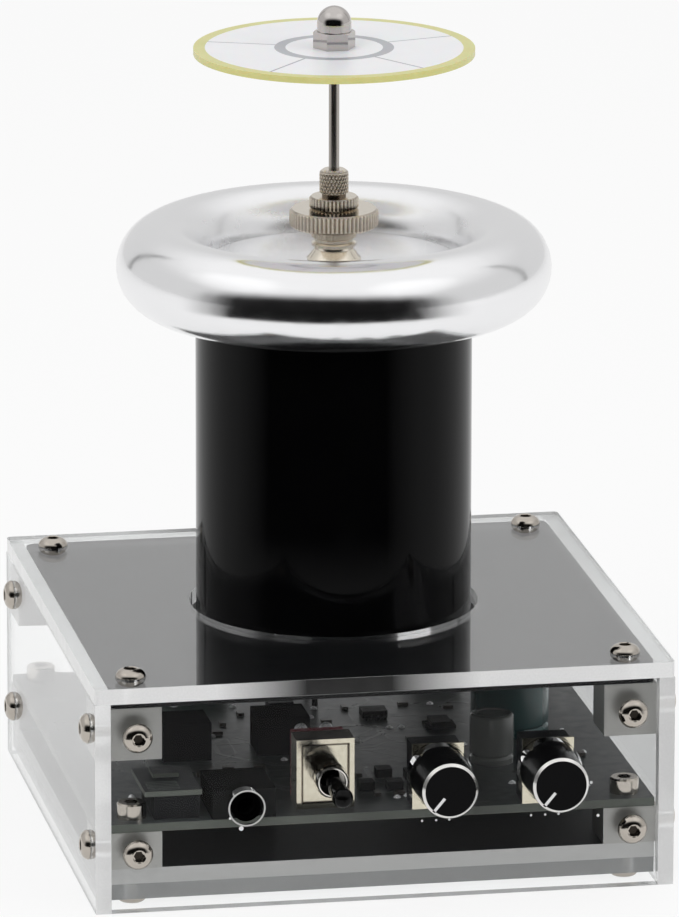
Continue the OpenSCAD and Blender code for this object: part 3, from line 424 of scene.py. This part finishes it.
MATS = {
    "acrylic_x": acrylic("clear_acrylic_x", 0, 1.49, glow=1.0, edge_clear=0.35),
    "acrylic_y": acrylic("clear_acrylic_y", 1, 1.15),
    "acrylic_z": acrylic("clear_acrylic_z", 2, 1.45, glow=1.0, edge_clear=0.18, shaded=True),
    "acrylic_base": acrylic("clear_acrylic_base", 2, 1.45, glow=0.5),
    "spreader": edge_sheet("plate_aluminium", (0.10, 0.10, 0.105), (0.48, 0.48, 0.475), 0.38),
    "block": metal("block_aluminium", (0.42, 0.415, 0.40), 0.42, size=0.5, bump=0.008,
                   spread=0.09),
    "screw": metal("screw_steel", (0.50, 0.46, 0.41), 0.12, size=0.5, bump=0.001,
                   rough_spread=0.03),
    "socket": varied("socket_shade", (0.035, 0.03, 0.025), 0.3, size=0.3, metal=1.0),
    "board": board_material("circuit_board", (0.030, 0.033, 0.033), 0.35),
    "module": board_material("module_board", (0.010, 0.011, 0.012), 0.4),
    "primary": varied("primary_board", (0.006, 0.006, 0.0065), 0.3, size=9.0,
                      rough_spread=0.02, spec=0.12),
    "copper": metal("copper", (0.80, 0.43, 0.25), 0.3),
    "black": plastic("black_plastic", (0.011, 0.011, 0.012), 0.5, bump=0.002, spec=0.04),
    "film": varied("film_black", (0.010, 0.010, 0.011), 0.6, size=6.0, rough_spread=0.02,
                   spec=0.0),
    # Steel painted dark: a painted dark reflection for a chrome lever
    "lever": metal("lever_steel", (0.10, 0.095, 0.09), 0.10, bump=0.001),
    "jack": jack_material(),
    "cap_black": varied("lever_black", (0.002, 0.002, 0.002), 0.10, size=1.5,
                        rough_spread=0.04, ior=1.22),
    "red": varied("red_plastic", (0.14, 0.004, 0.013), 0.3, size=2.0, spec=0.12),
    "plate": metal("tinned_plate", (0.70, 0.65, 0.52), 0.15, size=1.0, bump=0.002,
                   rough_spread=0.04),
    "frame_plate": frame_plate_material(),
    "bushing": metal("nickel_plate", (0.72, 0.70, 0.66), 0.16, bump=0.002),
    "collar": collar_material(),
    "knob": knob_material(),
    "can_grey": varied("grey_sleeve", (0.085, 0.088, 0.085), 0.2, size=8.0, spread=0.06,
                       rough_spread=0.02),
    "can_teal": varied("teal_sleeve", (0.014, 0.040, 0.040), 0.2, size=8.0, spread=0.06,
                       rough_spread=0.02),
    "brown": plastic("part_brown", (0.030, 0.024, 0.020), 0.4, bump=0.001),
    "ferrite": plastic("ferrite_green", (0.02, 0.12, 0.06), 0.4),
    "lead": plastic("lead_black", (0.015, 0.014, 0.014), 0.4, bump=0.001),
    "ivory": plastic("ivory_plastic", (0.66, 0.62, 0.50), 0.4),
    "sleeve": sleeve_material(),
    "mirror": spun_material("polished_aluminium", (0.91, 0.91, 0.92), 0.15, 0.002, 0.10),
    "dish": spun_material("dish_aluminium", (0.90, 0.90, 0.91), 0.22, 0.003),
    "nickel": metal("terminal_nickel", (0.76, 0.70, 0.60), 0.16, size=0.6, bump=0.001,
                    rough_spread=0.04),
    "thumb": knurled("thumb_nickel", 7.9, 8.4),
    "lock": knurled("lock_nickel", 4.3, 4.7),
    "chuck": knurled("chuck_nickel", 2.5, 2.78),
    "needle": metal("needle_steel", (0.40, 0.37, 0.34), 0.28, grain=(1, 1, 0.05)),
    "disc": disc_material(),
    "brass": metal("bush_brass", (0.80, 0.62, 0.28), 0.22),
    "chrome": metal("chrome_nut", (0.56, 0.53, 0.51), 0.07, bump=0.001, spread=0.03,
                    rough_spread=0.03),
    # Painted highlight for the lip of the jack's hole
    "lip": varied("hole_lip_highlight", (0.55, 0.55, 0.54), 0.3, size=2.0, spread=0.25),
    "white_ink": varied("white_ink", (0.80, 0.80, 0.80), 0.5, size=0.4, bump=0.002),
    "solder": varied("solder", (0.82, 0.82, 0.83), 0.28, size=0.4, metal=0.45),
    "trace": board_material("raised_trace", (0.055, 0.060, 0.058), 0.3),
}
NODE_MATS = {
    "acrylic_x": ["left_panel", "right_panel"],
    "acrylic_y": ["front_panel", "back_panel"],
    "acrylic_z": ["top_plate"],
    "acrylic_base": ["bottom_plate"],
    "spreader": ["heat_spreader"],
    "block": ["upper_blocks", "lower_blocks"],
    "screw": ["left_screws", "right_screws", "front_screws", "back_screws", "top_screws",
              "bottom_screws", "board_screws", "coil_screw", "clamp_nut"],
    "board": ["main_board"],
    "module": ["wireless_module"],
    "primary": ["primary_board", "primary_coil"],
    "copper": ["secondary_winding"],
    "jack": ["audio_jack"],
    "black": ["power_inlet", "pot_bodies", "module_header", "driver_chips",
              "power_transistors", "top_cap"],
    "film": ["tank_capacitors"],
    "cap_black": ["lever_cap"],
    "red": ["toggle_body"],
    "plate": ["pot_plates"],
    "frame_plate": ["toggle_frame"],
    "bushing": ["volume_shaft", "rate_shaft", "inlet_pin"],
    "lever": ["toggle_lever"],
    "collar": ["toggle_bushing"],
    "knob": ["volume_knob", "rate_knob"],
    "can_grey": ["smoothing_capacitor"],
    "can_teal": ["bus_capacitor"],
    "brown": ["surface_parts"],
    "ferrite": ["gate_transformer"],
    "lead": ["coil_leads"],
    "ivory": ["bottom_cap", "coil_former"],
    "sleeve": ["coil_sleeve"],
    "mirror": ["toroid"],
    "dish": ["toroid_plate"],
    "nickel": ["terminal_post"],
    "thumb": ["thumb_nut"],
    "lock": ["lock_nut"],
    "chuck": ["chuck"],
    "needle": ["needle"],
    "disc": ["spinner_disc"],
    "brass": ["bearing_bush"],
    "chrome": ["dome_nut"],
}
for key, names in NODE_MATS.items():
    for name in names:
        slots = nodes[name].data.materials
        slots.clear()
        slots.append(MATS[key].m)

# The clear sheets keep a hair of air between them and their neighbours
for key in ("acrylic_x", "acrylic_y", "acrylic_z", "acrylic_base"):
    for name in NODE_MATS[key]:
        weld = nodes[name].modifiers.new("weld", "WELD")
        weld.merge_threshold = 0.005 * MM
        shrink = nodes[name].modifiers.new("air", "DISPLACE")
        shrink.strength, shrink.mid_level = -0.03 * MM, 0.0
        crisp = nodes[name].modifiers.new("crisp", "EDGE_SPLIT")
        crisp.split_angle = math.radians(35)


# ---------------------------------------------------------------- pieces
def piece(name, verts, faces, mat, body, smooth=False):
    """A mesh from points in millimetres, riding on a body."""
    mesh = bpy.data.meshes.new(name)
    mesh.from_pydata([Vector(v) * MM for v in verts], [], faces)
    mesh.update()
    bm = bmesh.new()
    bm.from_mesh(mesh)
    bmesh.ops.recalc_face_normals(bm, faces=bm.faces)
    bm.to_mesh(mesh)
    bm.free()
    for p in mesh.polygons:
        p.use_smooth = smooth
    mesh.materials.append(MATS[mat].m)
    o = bpy.data.objects.new(name, mesh)
    bpy.context.scene.collection.objects.link(o)
    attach(o, body)
    return o


class Shape:
    """Collects closed solids for one mesh."""

    def __init__(self):
        self.verts, self.faces = [], []

    def add(self, verts, faces):
        k = len(self.verts)
        self.verts += [tuple(v) for v in verts]
        self.faces += [tuple(i + k for i in f) for f in faces]

    def box(self, lo, hi, turn=None):
        x0, y0, z0 = lo
        x1, y1, z1 = hi
        v = [Vector(p) for p in ((x0, y0, z0), (x1, y0, z0), (x1, y1, z0), (x0, y1, z0),
                                 (x0, y0, z1), (x1, y0, z1), (x1, y1, z1), (x0, y1, z1))]
        if turn:
            v = [turn @ p for p in v]
        self.add(v, [(0, 3, 2, 1), (4, 5, 6, 7), (0, 1, 5, 4), (1, 2, 6, 5), (2, 3, 7, 6),
                     (3, 0, 4, 7)])

    def spin(self, profile, frame_m, steps=32):
        """Revolves (radius, height) points about frame_m's Z axis; ends on the axis close it."""
        rings = []
        for r, h in profile:
            if r < 1e-6:
                rings.append([len(self.verts)])
                self.verts.append(tuple(frame_m @ Vector((0, 0, h))))
            else:
                rings.append([len(self.verts) + i for i in range(steps)])
                turns = [2 * math.pi * i / steps for i in range(steps)]
                self.verts += [tuple(frame_m @ Vector((r * math.cos(a), r * math.sin(a), h)))
                               for a in turns]
        for a, b in zip(rings, rings[1:]):
            for i in range(steps):
                j = (i + 1) % steps
                if len(a) == 1 and len(b) == 1:
                    continue
                if len(a) == 1:
                    self.faces.append((a[0], b[i], b[j]))
                elif len(b) == 1:
                    self.faces.append((a[i], b[0], a[j]))
                else:
                    self.faces.append((a[i], b[i], b[j], a[j]))

    def stack(self, rows, place=Matrix()):
        """A solid from closed rows of points, one above the other, capped at both ends."""
        steps, last = len(rows[0]), (len(rows) - 1) * len(rows[0])
        faces = [tuple(range(steps)), tuple(last + i for i in reversed(range(steps)))]
        for j in range(0, last, steps):
            for i in range(steps):
                k = (i + 1) % steps
                faces.append((j + i, j + k, j + steps + k, j + steps + i))
        self.add([place @ Vector(v) for row in rows for v in row], faces)


def at(x, y, z, towards=(0, 0, 1)):
    """Frame at a point, with its Z axis along a direction."""
    q = Vector(towards).to_track_quat("Z", "Y")
    return Matrix.Translation((x, y, z)) @ q.to_matrix().to_4x4()


def tri(v):
    """Triangle wave between 0 and 1."""
    return abs((v % 1.0) * 2 - 1)


def button_screw(shape, place, length):
    """M3 button head on z = 0 with a domed face, a chamfered hex socket and a threaded shank."""
    steps, head_r, head_h, rim_r = 48, 2.85, 1.65, 1.3
    socket, socket_depth, chamfer = 1.0, 1.0, 0.13
    start, dome_r, dome_z = math.radians(12), 1.87, 1.72
    shank_r, groove, pitch, per_turn, threaded = 1.45, 0.26, 0.5, 6, 5.0
    angles = [2 * math.pi * i / steps for i in range(steps)]

    def circle(r, z):
        return [(r * math.cos(a), r * math.sin(a), z) for a in angles]

    def hexagon(z):
        sixth = math.pi / 3
        sides = [socket / math.cos(a % sixth - sixth / 2) for a in angles]
        return [(r * math.cos(a), r * math.sin(a), z) for r, a in zip(sides, angles)]

    rows = [hexagon(head_h - socket_depth), hexagon(head_h - chamfer), circle(rim_r, head_h)]
    # An arc from the socket's rim down to the edge of the head
    for k in range(9):
        a = math.radians(80 - 8.5 * k)
        rows.append(circle(head_r - (math.cos(start) - math.cos(a)) * dome_r,
                           0.3 + (math.sin(a) - math.sin(start)) * dome_z))
    rows += [circle(head_r, 0.12), circle(head_r - 0.13, 0.0), circle(shank_r, 0.0)]
    for k in range(int(min(length, threaded) / pitch * per_turn)):
        rings = [shank_r - groove * tri(k / per_turn + a / 2 / math.pi) for a in angles]
        rows.append([(r * math.cos(a), r * math.sin(a), -k * pitch / per_turn)
                     for r, a in zip(rings, angles)])
    rows += [circle(1.2, -length + 0.2), circle(1.0, -length)]
    shape.stack(rows, place)


def screw_set(node, seats, towards, length):
    """Screws that stand for one node, with a dark disc of painted shade on the floor of each
    socket.
    """
    screws, socket_shade_discs = Shape(), Shape()
    for seat in seats:
        place = at(*seat, towards)
        button_screw(screws, place, length)
        # Painted shade: a near black disc at the bottom of each socket
        socket_shade_discs.spin([(0, 0.64), (0.97, 0.64), (0.97, 0.68), (0, 0.68)], place, 6)
    o = piece(node + "_fine", screws.verts, screws.faces, "screw", "case",
              smooth=True)
    o.data.set_sharp_from_angle(angle=math.radians(32))
    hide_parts(node)
    piece(node + "_floors", socket_shade_discs.verts, socket_shade_discs.faces, "socket", "case")


corners = [(x, y) for x in (-SCREW, SCREW) for y in (-SCREW, SCREW)]
wall_seats = [(w, z) for w in (-SCREW, SCREW) for z in SCREW_Z]
for node, side in (("front_screws", -1), ("back_screws", 1)):
    screw_set(node, [(x, side * SIDE, z) for x, z in wall_seats], (0, side, 0), 6.0)
for node, side in (("left_screws", -1), ("right_screws", 1)):
    screw_set(node, [(side * SIDE, y, z) for y, z in wall_seats], (side, 0, 0), 6.0)
screw_set("top_screws", [(x, y, TOP) for x, y in corners], (0, 0, 1), 8.0)

# White dots printed on the front panel
dots = Shape()
for x, z, r in ((6.8, 15.0, 0.22), (9.5, 15.0, 0.22), (12.0, 15.0, 0.22), (27.6, 15.0, 0.22),
                (30.3, 15.0, 0.22), (32.85, 15.0, 0.22), (40.4, 14.3, 0.3), (39.06, 20.8, 0.3),
                (-29.6, 17.4, 0.25), (-27.5, 15.35, 0.45)):
    dots.spin([(0, 0), (r, 0), (r, 0.04), (0, 0.04)], at(x, -SIDE - 0.001, z, (0, -1, 0)), 20)
piece("panel_dots", dots.verts, dots.faces, "white_ink", "case")

# White fill of the pointer grooves
for body, x in (("volume", VOLUME_X), ("rate", RATE_X)):
    fill = Shape()
    turn = Matrix.Translation((x, -KNOB_FACE, SHAFT_Z)) @ Matrix.Rotation(math.radians(40), 4, "Y")
    fill.box((-0.3, 0.06, -4.75), (0.3, 0.25, -1.7), turn)
    piece(body + "_pointer", fill.verts, fill.faces, "white_ink", body)

# Diamond knurl on the needle's chuck
knurl = Shape()
STEPS, ROWS, TEETH, PITCH, DEPTH = 192, 56, 26, 0.66, 0.25
NECK, BEVEL, NECK_CUT = 0.7, 0.2, 0.5  # the knurl starts above a neck and a bevel
CROWN, CROWN_CUT = 0.9, 0.75  # height and width of the rounding at the top
rows = []
for j in range(ROWS + 1):
    z = CHUCK_H * j / ROWS
    r = CHUCK_R
    if z < NECK:
        r = CHUCK_R - NECK_CUT + max(0.0, (z - NECK_CUT) / BEVEL) * NECK_CUT
    if z > CHUCK_H - CROWN:
        r = CHUCK_R - (z - CHUCK_H + CROWN) ** 2 / CROWN ** 2 * CROWN_CUT
    row = []
    for i in range(STEPS):
        a = i / STEPS
        cut = 0.0
        if NECK <= z <= CHUCK_H - NECK:
            left, right = tri(a * TEETH + z / PITCH / 2), tri(a * TEETH - z / PITCH / 2)
            cut = DEPTH * max(left, right) ** 2
        a *= 2 * math.pi
        row.append(((r - cut) * math.cos(a), (r - cut) * math.sin(a), LOCK_TOP + z))
    rows.append(row)
knurl.stack(rows)
chuck = piece("chuck_knurl", knurl.verts, knurl.faces, "chuck", "case")
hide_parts("chuck")

# Painted highlight: a bright ring that stands for light on the lip of the panel's hole round the
# jack
lip = Shape()
lip.spin([(3.22, -0.02), (3.52, -0.02), (3.52, 0.05), (3.3, 0.07), (3.22, 0.03), (3.22, -0.02)],
         at(JACK[0], -SIDE, JACK[1], (0, -1, 0)), 48)
piece("jack_hole_lip_highlight", lip.verts, lip.faces, "lip", "case", smooth=True)

# Traces on the main board: straight runs with 45 degree bends, a hair proud
tracks = Shape()
TRACKS, SOLDER_POINTS, BOARD_EDGE, PROUD = 64, 60, 49, 0.03


def track(points, width):
    for (x0, y0), (x1, y1) in zip(points, points[1:]):
        d = Vector((x1 - x0, y1 - y0, 0))
        if d.length < 0.05:
            continue
        turn = Matrix.Translation((x0, y0, BOARD_TOP))
        turn = turn @ Matrix.Rotation(math.atan2(d.y, d.x), 4, "Z")
        tracks.box((0, -width / 2, 0.0), (d.length, width / 2, PROUD), turn)


for _ in range(TRACKS):
    x, y = rng.uniform(-46, 44), rng.uniform(-40, 46)
    pts = [(x, y)]
    heading = rng.choice((0, 90, 180, 270))
    for _ in range(rng.randint(2, 4)):
        run = rng.uniform(3, 13)
        x += run * math.cos(math.radians(heading))
        y += run * math.sin(math.radians(heading))
        x, y = (max(-BOARD_EDGE, min(BOARD_EDGE, v)) for v in (x, y))
        pts.append((x, y))
        heading += rng.choice((-45, 45))
    track(pts, rng.choice((0.3, 0.3, 0.5, 0.9)))
piece("board_tracks", tracks.verts, tracks.faces, "trace", "case")

# Solder and pads beside the small parts
pads = Shape()
for _ in range(SOLDER_POINTS):
    x, y = rng.uniform(-45, 45), rng.uniform(-46, 46)
    pads.spin([(0, 0), (0.75, 0), (0.6, 0.22), (0.25, 0.5), (0, 0.55)], at(x, y, BOARD_TOP), 12)
piece("board_solder", pads.verts, pads.faces, "solder", "case", smooth=True)

# Antenna trace of the module: a square meander
meander = Shape()
x0, y0, z0 = -44.0, -49.2, BOARD_TOP + MODULE_H
RUNS, RUN, WIDTH, THICK = 6, 6.0, 0.35, 0.05
for k in range(RUNS):
    y = y0 + k
    meander.box((x0, y, z0), (x0 + RUN, y + WIDTH, z0 + THICK))
    xe = x0 + RUN - WIDTH if k % 2 == 0 else x0
    if k < RUNS - 1:
        meander.box((xe, y + WIDTH, z0), (xe + WIDTH, y + 1.0, z0 + THICK))
piece("module_antenna", meander.verts, meander.faces, "trace", "case")

# Solder blobs on the switch's tags
blobs = Shape()
for dx in (-2.4, 2.4):
    for dz in (-4.5, 0, 4.5):
        blobs.spin([(0, -1.3), (0.9, -0.95), (1.3, 0), (0.9, 0.95), (0, 1.3)],
                   at(TOGGLE[0] + dx, -34.9, TOGGLE[1] + dz, (0, 1, 0)), 14)
piece("switch_solder", blobs.verts, blobs.faces, "solder", "case", smooth=True)


# ---------------------------------------------------------------- stage
def stage_plane(name, size, z, mat):
    mesh = bpy.data.meshes.new(name)
    s = size / 2
    mesh.from_pydata([(-s, -s, z), (s, -s, z), (s, s, z), (-s, s, z)], [], [(0, 1, 2, 3)])
    mesh.materials.append(mat)
    o = bpy.data.objects.new(name, mesh)
    bpy.context.scene.collection.objects.link(o)


def ray_kinds(tree):
    """Two masks: rays that come straight to the camera, also through the clear sheets, and
    rays that come by way of a glossy surface. Both leave out light that a matt surface took up."""
    path = tree.node("ShaderNodeLightPath").outputs
    matt = tree.math("MINIMUM", path["Diffuse Depth"], 1.0)
    gloss = tree.math("MINIMUM", path["Glossy Depth"], 1.0)
    sharp = tree.inverse(matt)
    clear = tree.math("MAXIMUM", path["Is Camera Ray"], path["Is Transmission Ray"])
    straight = tree.math("MULTIPLY", tree.math("MULTIPLY", clear, sharp), tree.inverse(gloss))
    return straight, tree.math("MULTIPLY", gloss, sharp)


def degrees_from_front(tree, x, y):
    """Turn about Z from -Y, in degrees."""
    return tree.math("DEGREES", tree.math("ARCTAN2", x, tree.math("MULTIPLY", y, -1.0)))


# White floor: what the camera, metal and glass see of it is lifted towards white, with its shadow
TO_CAMERA, TO_METAL = 0.84, 0.6
floor_mat = Mat("floor_white", rough=0.7, spec=0.0)
lift = floor_mat.node("ShaderNodeEmission")
floor_mat.put(lift.inputs["Color"], (1, 1, 1))
straight, glossy = ray_kinds(floor_mat)
lifted = floor_mat.math("ADD", floor_mat.math("MULTIPLY", straight, TO_CAMERA),
                        floor_mat.math("MULTIPLY", glossy, TO_METAL))
# Seen only by glossy rays, the floor in front of the object past 0.20 to 0.25 m on the dark side is
# painted near black: a painted dark reflection
fx, fy, _ = floor_mat.xyz()
side = degrees_from_front(floor_mat, fx, fy)
side = floor_mat.math("ABSOLUTE", floor_mat.math("ADD", side, DARK_TURN))
past = floor_mat.math("MULTIPLY", floor_mat.band(floor_mat.length(fx, fy), 0.20, 0.25),
                      floor_mat.band(side, 48, 80, 1.0, 0.0))
past = floor_mat.math("MULTIPLY", past, glossy)
floor_mat.feed("Base Color", floor_mat.mix(past, FLOOR_WHITE, (0.006, 0.006, 0.006)))
lifted = floor_mat.math("MULTIPLY", lifted, floor_mat.inverse(past))
floor_mat.put(floor_mat.nodes["Material Output"].inputs["Surface"],
              mix_shaders(floor_mat, lifted, floor_mat.bsdf.outputs[0], lift.outputs[0]))
stage_plane("floor", 8.0, 0.0, floor_mat.m)

# White studio, with the room's dark side in front for polished metal to reflect
world = bpy.data.worlds.new("studio")
bpy.context.scene.world = world
world.use_nodes = True
sky = Tree(world.node_tree)
sky.nodes.clear()


def step(v, lo, hi):
    """0 below lo, 1 above hi, smooth between."""
    return sky.band(v, lo, hi, kind="SMOOTHSTEP")


def oval(across, wide, up, high):
    """Squared distance from the middle of an oval whose rim is at 1."""
    return sky.math("ADD", sky.math("POWER", sky.math("DIVIDE", across, wide), 2.0),
                    sky.math("POWER", sky.math("DIVIDE", up, high), 2.0))


def seam(middle, half, low, high):
    """A thin upright line where two sheets of the tent meet."""
    off = sky.math("ABSOLUTE", sky.math("SUBTRACT", turn, middle))
    line = sky.inverse(step(off, half * 0.4, half))
    span = sky.math("MULTIPLY", step(rise, low - 6, low), sky.inverse(step(rise, high, high + 12)))
    return sky.math("MULTIPLY", line, span)


# Direction in degrees: turn from the front, rise above the floor
axes = sky.node("ShaderNodeSeparateXYZ")
sky.put(axes.inputs[0], sky.node("ShaderNodeTexCoord").outputs["Generated"])
turn = degrees_from_front(sky, axes.outputs[0], axes.outputs[1])
rise = sky.math("DEGREES", sky.math("ARCSINE", axes.outputs[2]))
# The dark front falls off to both sides and upwards, with a rounded top
aside = sky.math("ABSOLUTE", sky.math("ADD", turn, DARK_TURN))
crown = sky.math("MULTIPLY", sky.math("POWER", sky.math("DIVIDE", aside, 57.0), 2.0), 14.0)
dark = sky.math("MULTIPLY", sky.inverse(step(aside, 46, 80)),
                sky.inverse(step(sky.math("ADD", rise, crown), 25, 47)))
# Grey walls, and a bright roof with a lamp behind it on each side
glow = sky.math("ADD", 0.70, sky.math("MULTIPLY", step(rise, 22, 56), 0.27))
for middle in (-82.0, 46.0):
    away = oval(sky.math("SUBTRACT", turn, middle), 34.0, sky.math("SUBTRACT", rise, 48.0), 20.0)
    glow = sky.math("ADD", glow, sky.math("MULTIPLY", sky.inverse(step(away, 0.2, 1.3)), 0.16))
glow = sky.math("MULTIPLY", glow, sky.inverse(sky.math("MULTIPLY", dark, 0.992)))
for place in ((-148.0, 2.6, -20.0, 30.0), (110.0, 2.2, -30.0, 34.0)):
    glow = sky.math("MULTIPLY", glow, sky.inverse(sky.math("MULTIPLY", seam(*place), 0.75)))

# What lights the object, what the camera sees behind it, and what metal and glass mirror
light, seen, mirrored = (sky.node("ShaderNodeBackground") for _ in range(3))
for shader, strength in ((light, 0.55), (seen, 1.0), (mirrored, glow)):
    sky.put(shader.inputs["Color"], (1, 1, 1))
    sky.put(shader.inputs["Strength"], strength)
straight, glossy = ray_kinds(sky)
direct = mix_shaders(sky, straight, light.outputs[0], seen.outputs[0])
sky.put(sky.node("ShaderNodeOutputWorld").inputs["Surface"],
        mix_shaders(sky, glossy, direct, mirrored.outputs[0]))


def softbox(name, place, size, power):
    """A square lamp, aimed at the coil, that mirrors don't show."""
    data = bpy.data.lights.new(name, "AREA")
    data.shape = "RECTANGLE"
    data.size = data.size_y = size
    data.energy = power
    o = bpy.data.objects.new(name, data)
    o.visible_glossy = False
    o.location = place
    aim = Vector((0, 0, 0.06))
    o.rotation_euler = (aim - Vector(place)).to_track_quat("-Z", "Y").to_euler()
    bpy.context.scene.collection.objects.link(o)


softbox("key", (-0.9, -0.9, 1.0), 0.8, 6.5)
softbox("fill", (1.1, -0.7, 0.7), 0.8, 4.5)
softbox("top", (0.0, 0.2, 1.4), 1.0, 4)

# ---------------------------------------------------------------- camera
# Solved from the photograph's view of the square case; place in millimetres
PLACE, LENS = (-330.28, -1798.38, 553.54), 389.4
azimuth, pitch, roll = (math.radians(v) for v in (-10.4419, 14.7811, 0.0891))
forward = Vector((-math.sin(azimuth) * math.cos(pitch), math.cos(azimuth) * math.cos(pitch),
                  -math.sin(pitch)))
level = Vector((math.cos(azimuth), math.sin(azimuth), 0))
upright = level.cross(forward)
right = level * math.cos(roll) + upright * math.sin(roll)
up = -level * math.sin(roll) + upright * math.cos(roll)
cam = bpy.data.cameras.new("camera")
cam.sensor_width = 36
cam.lens = LENS
cam.clip_start, cam.clip_end = 0.05, 100
cam_obj = bpy.data.objects.new("camera", cam)
pose = Matrix((right, up, -forward)).transposed().to_4x4()
pose.translation = Vector(PLACE) * MM
cam_obj.matrix_world = pose
bpy.context.scene.collection.objects.link(cam_obj)
bpy.context.scene.camera = cam_obj
bpy.context.scene.view_settings.view_transform = "Standard"
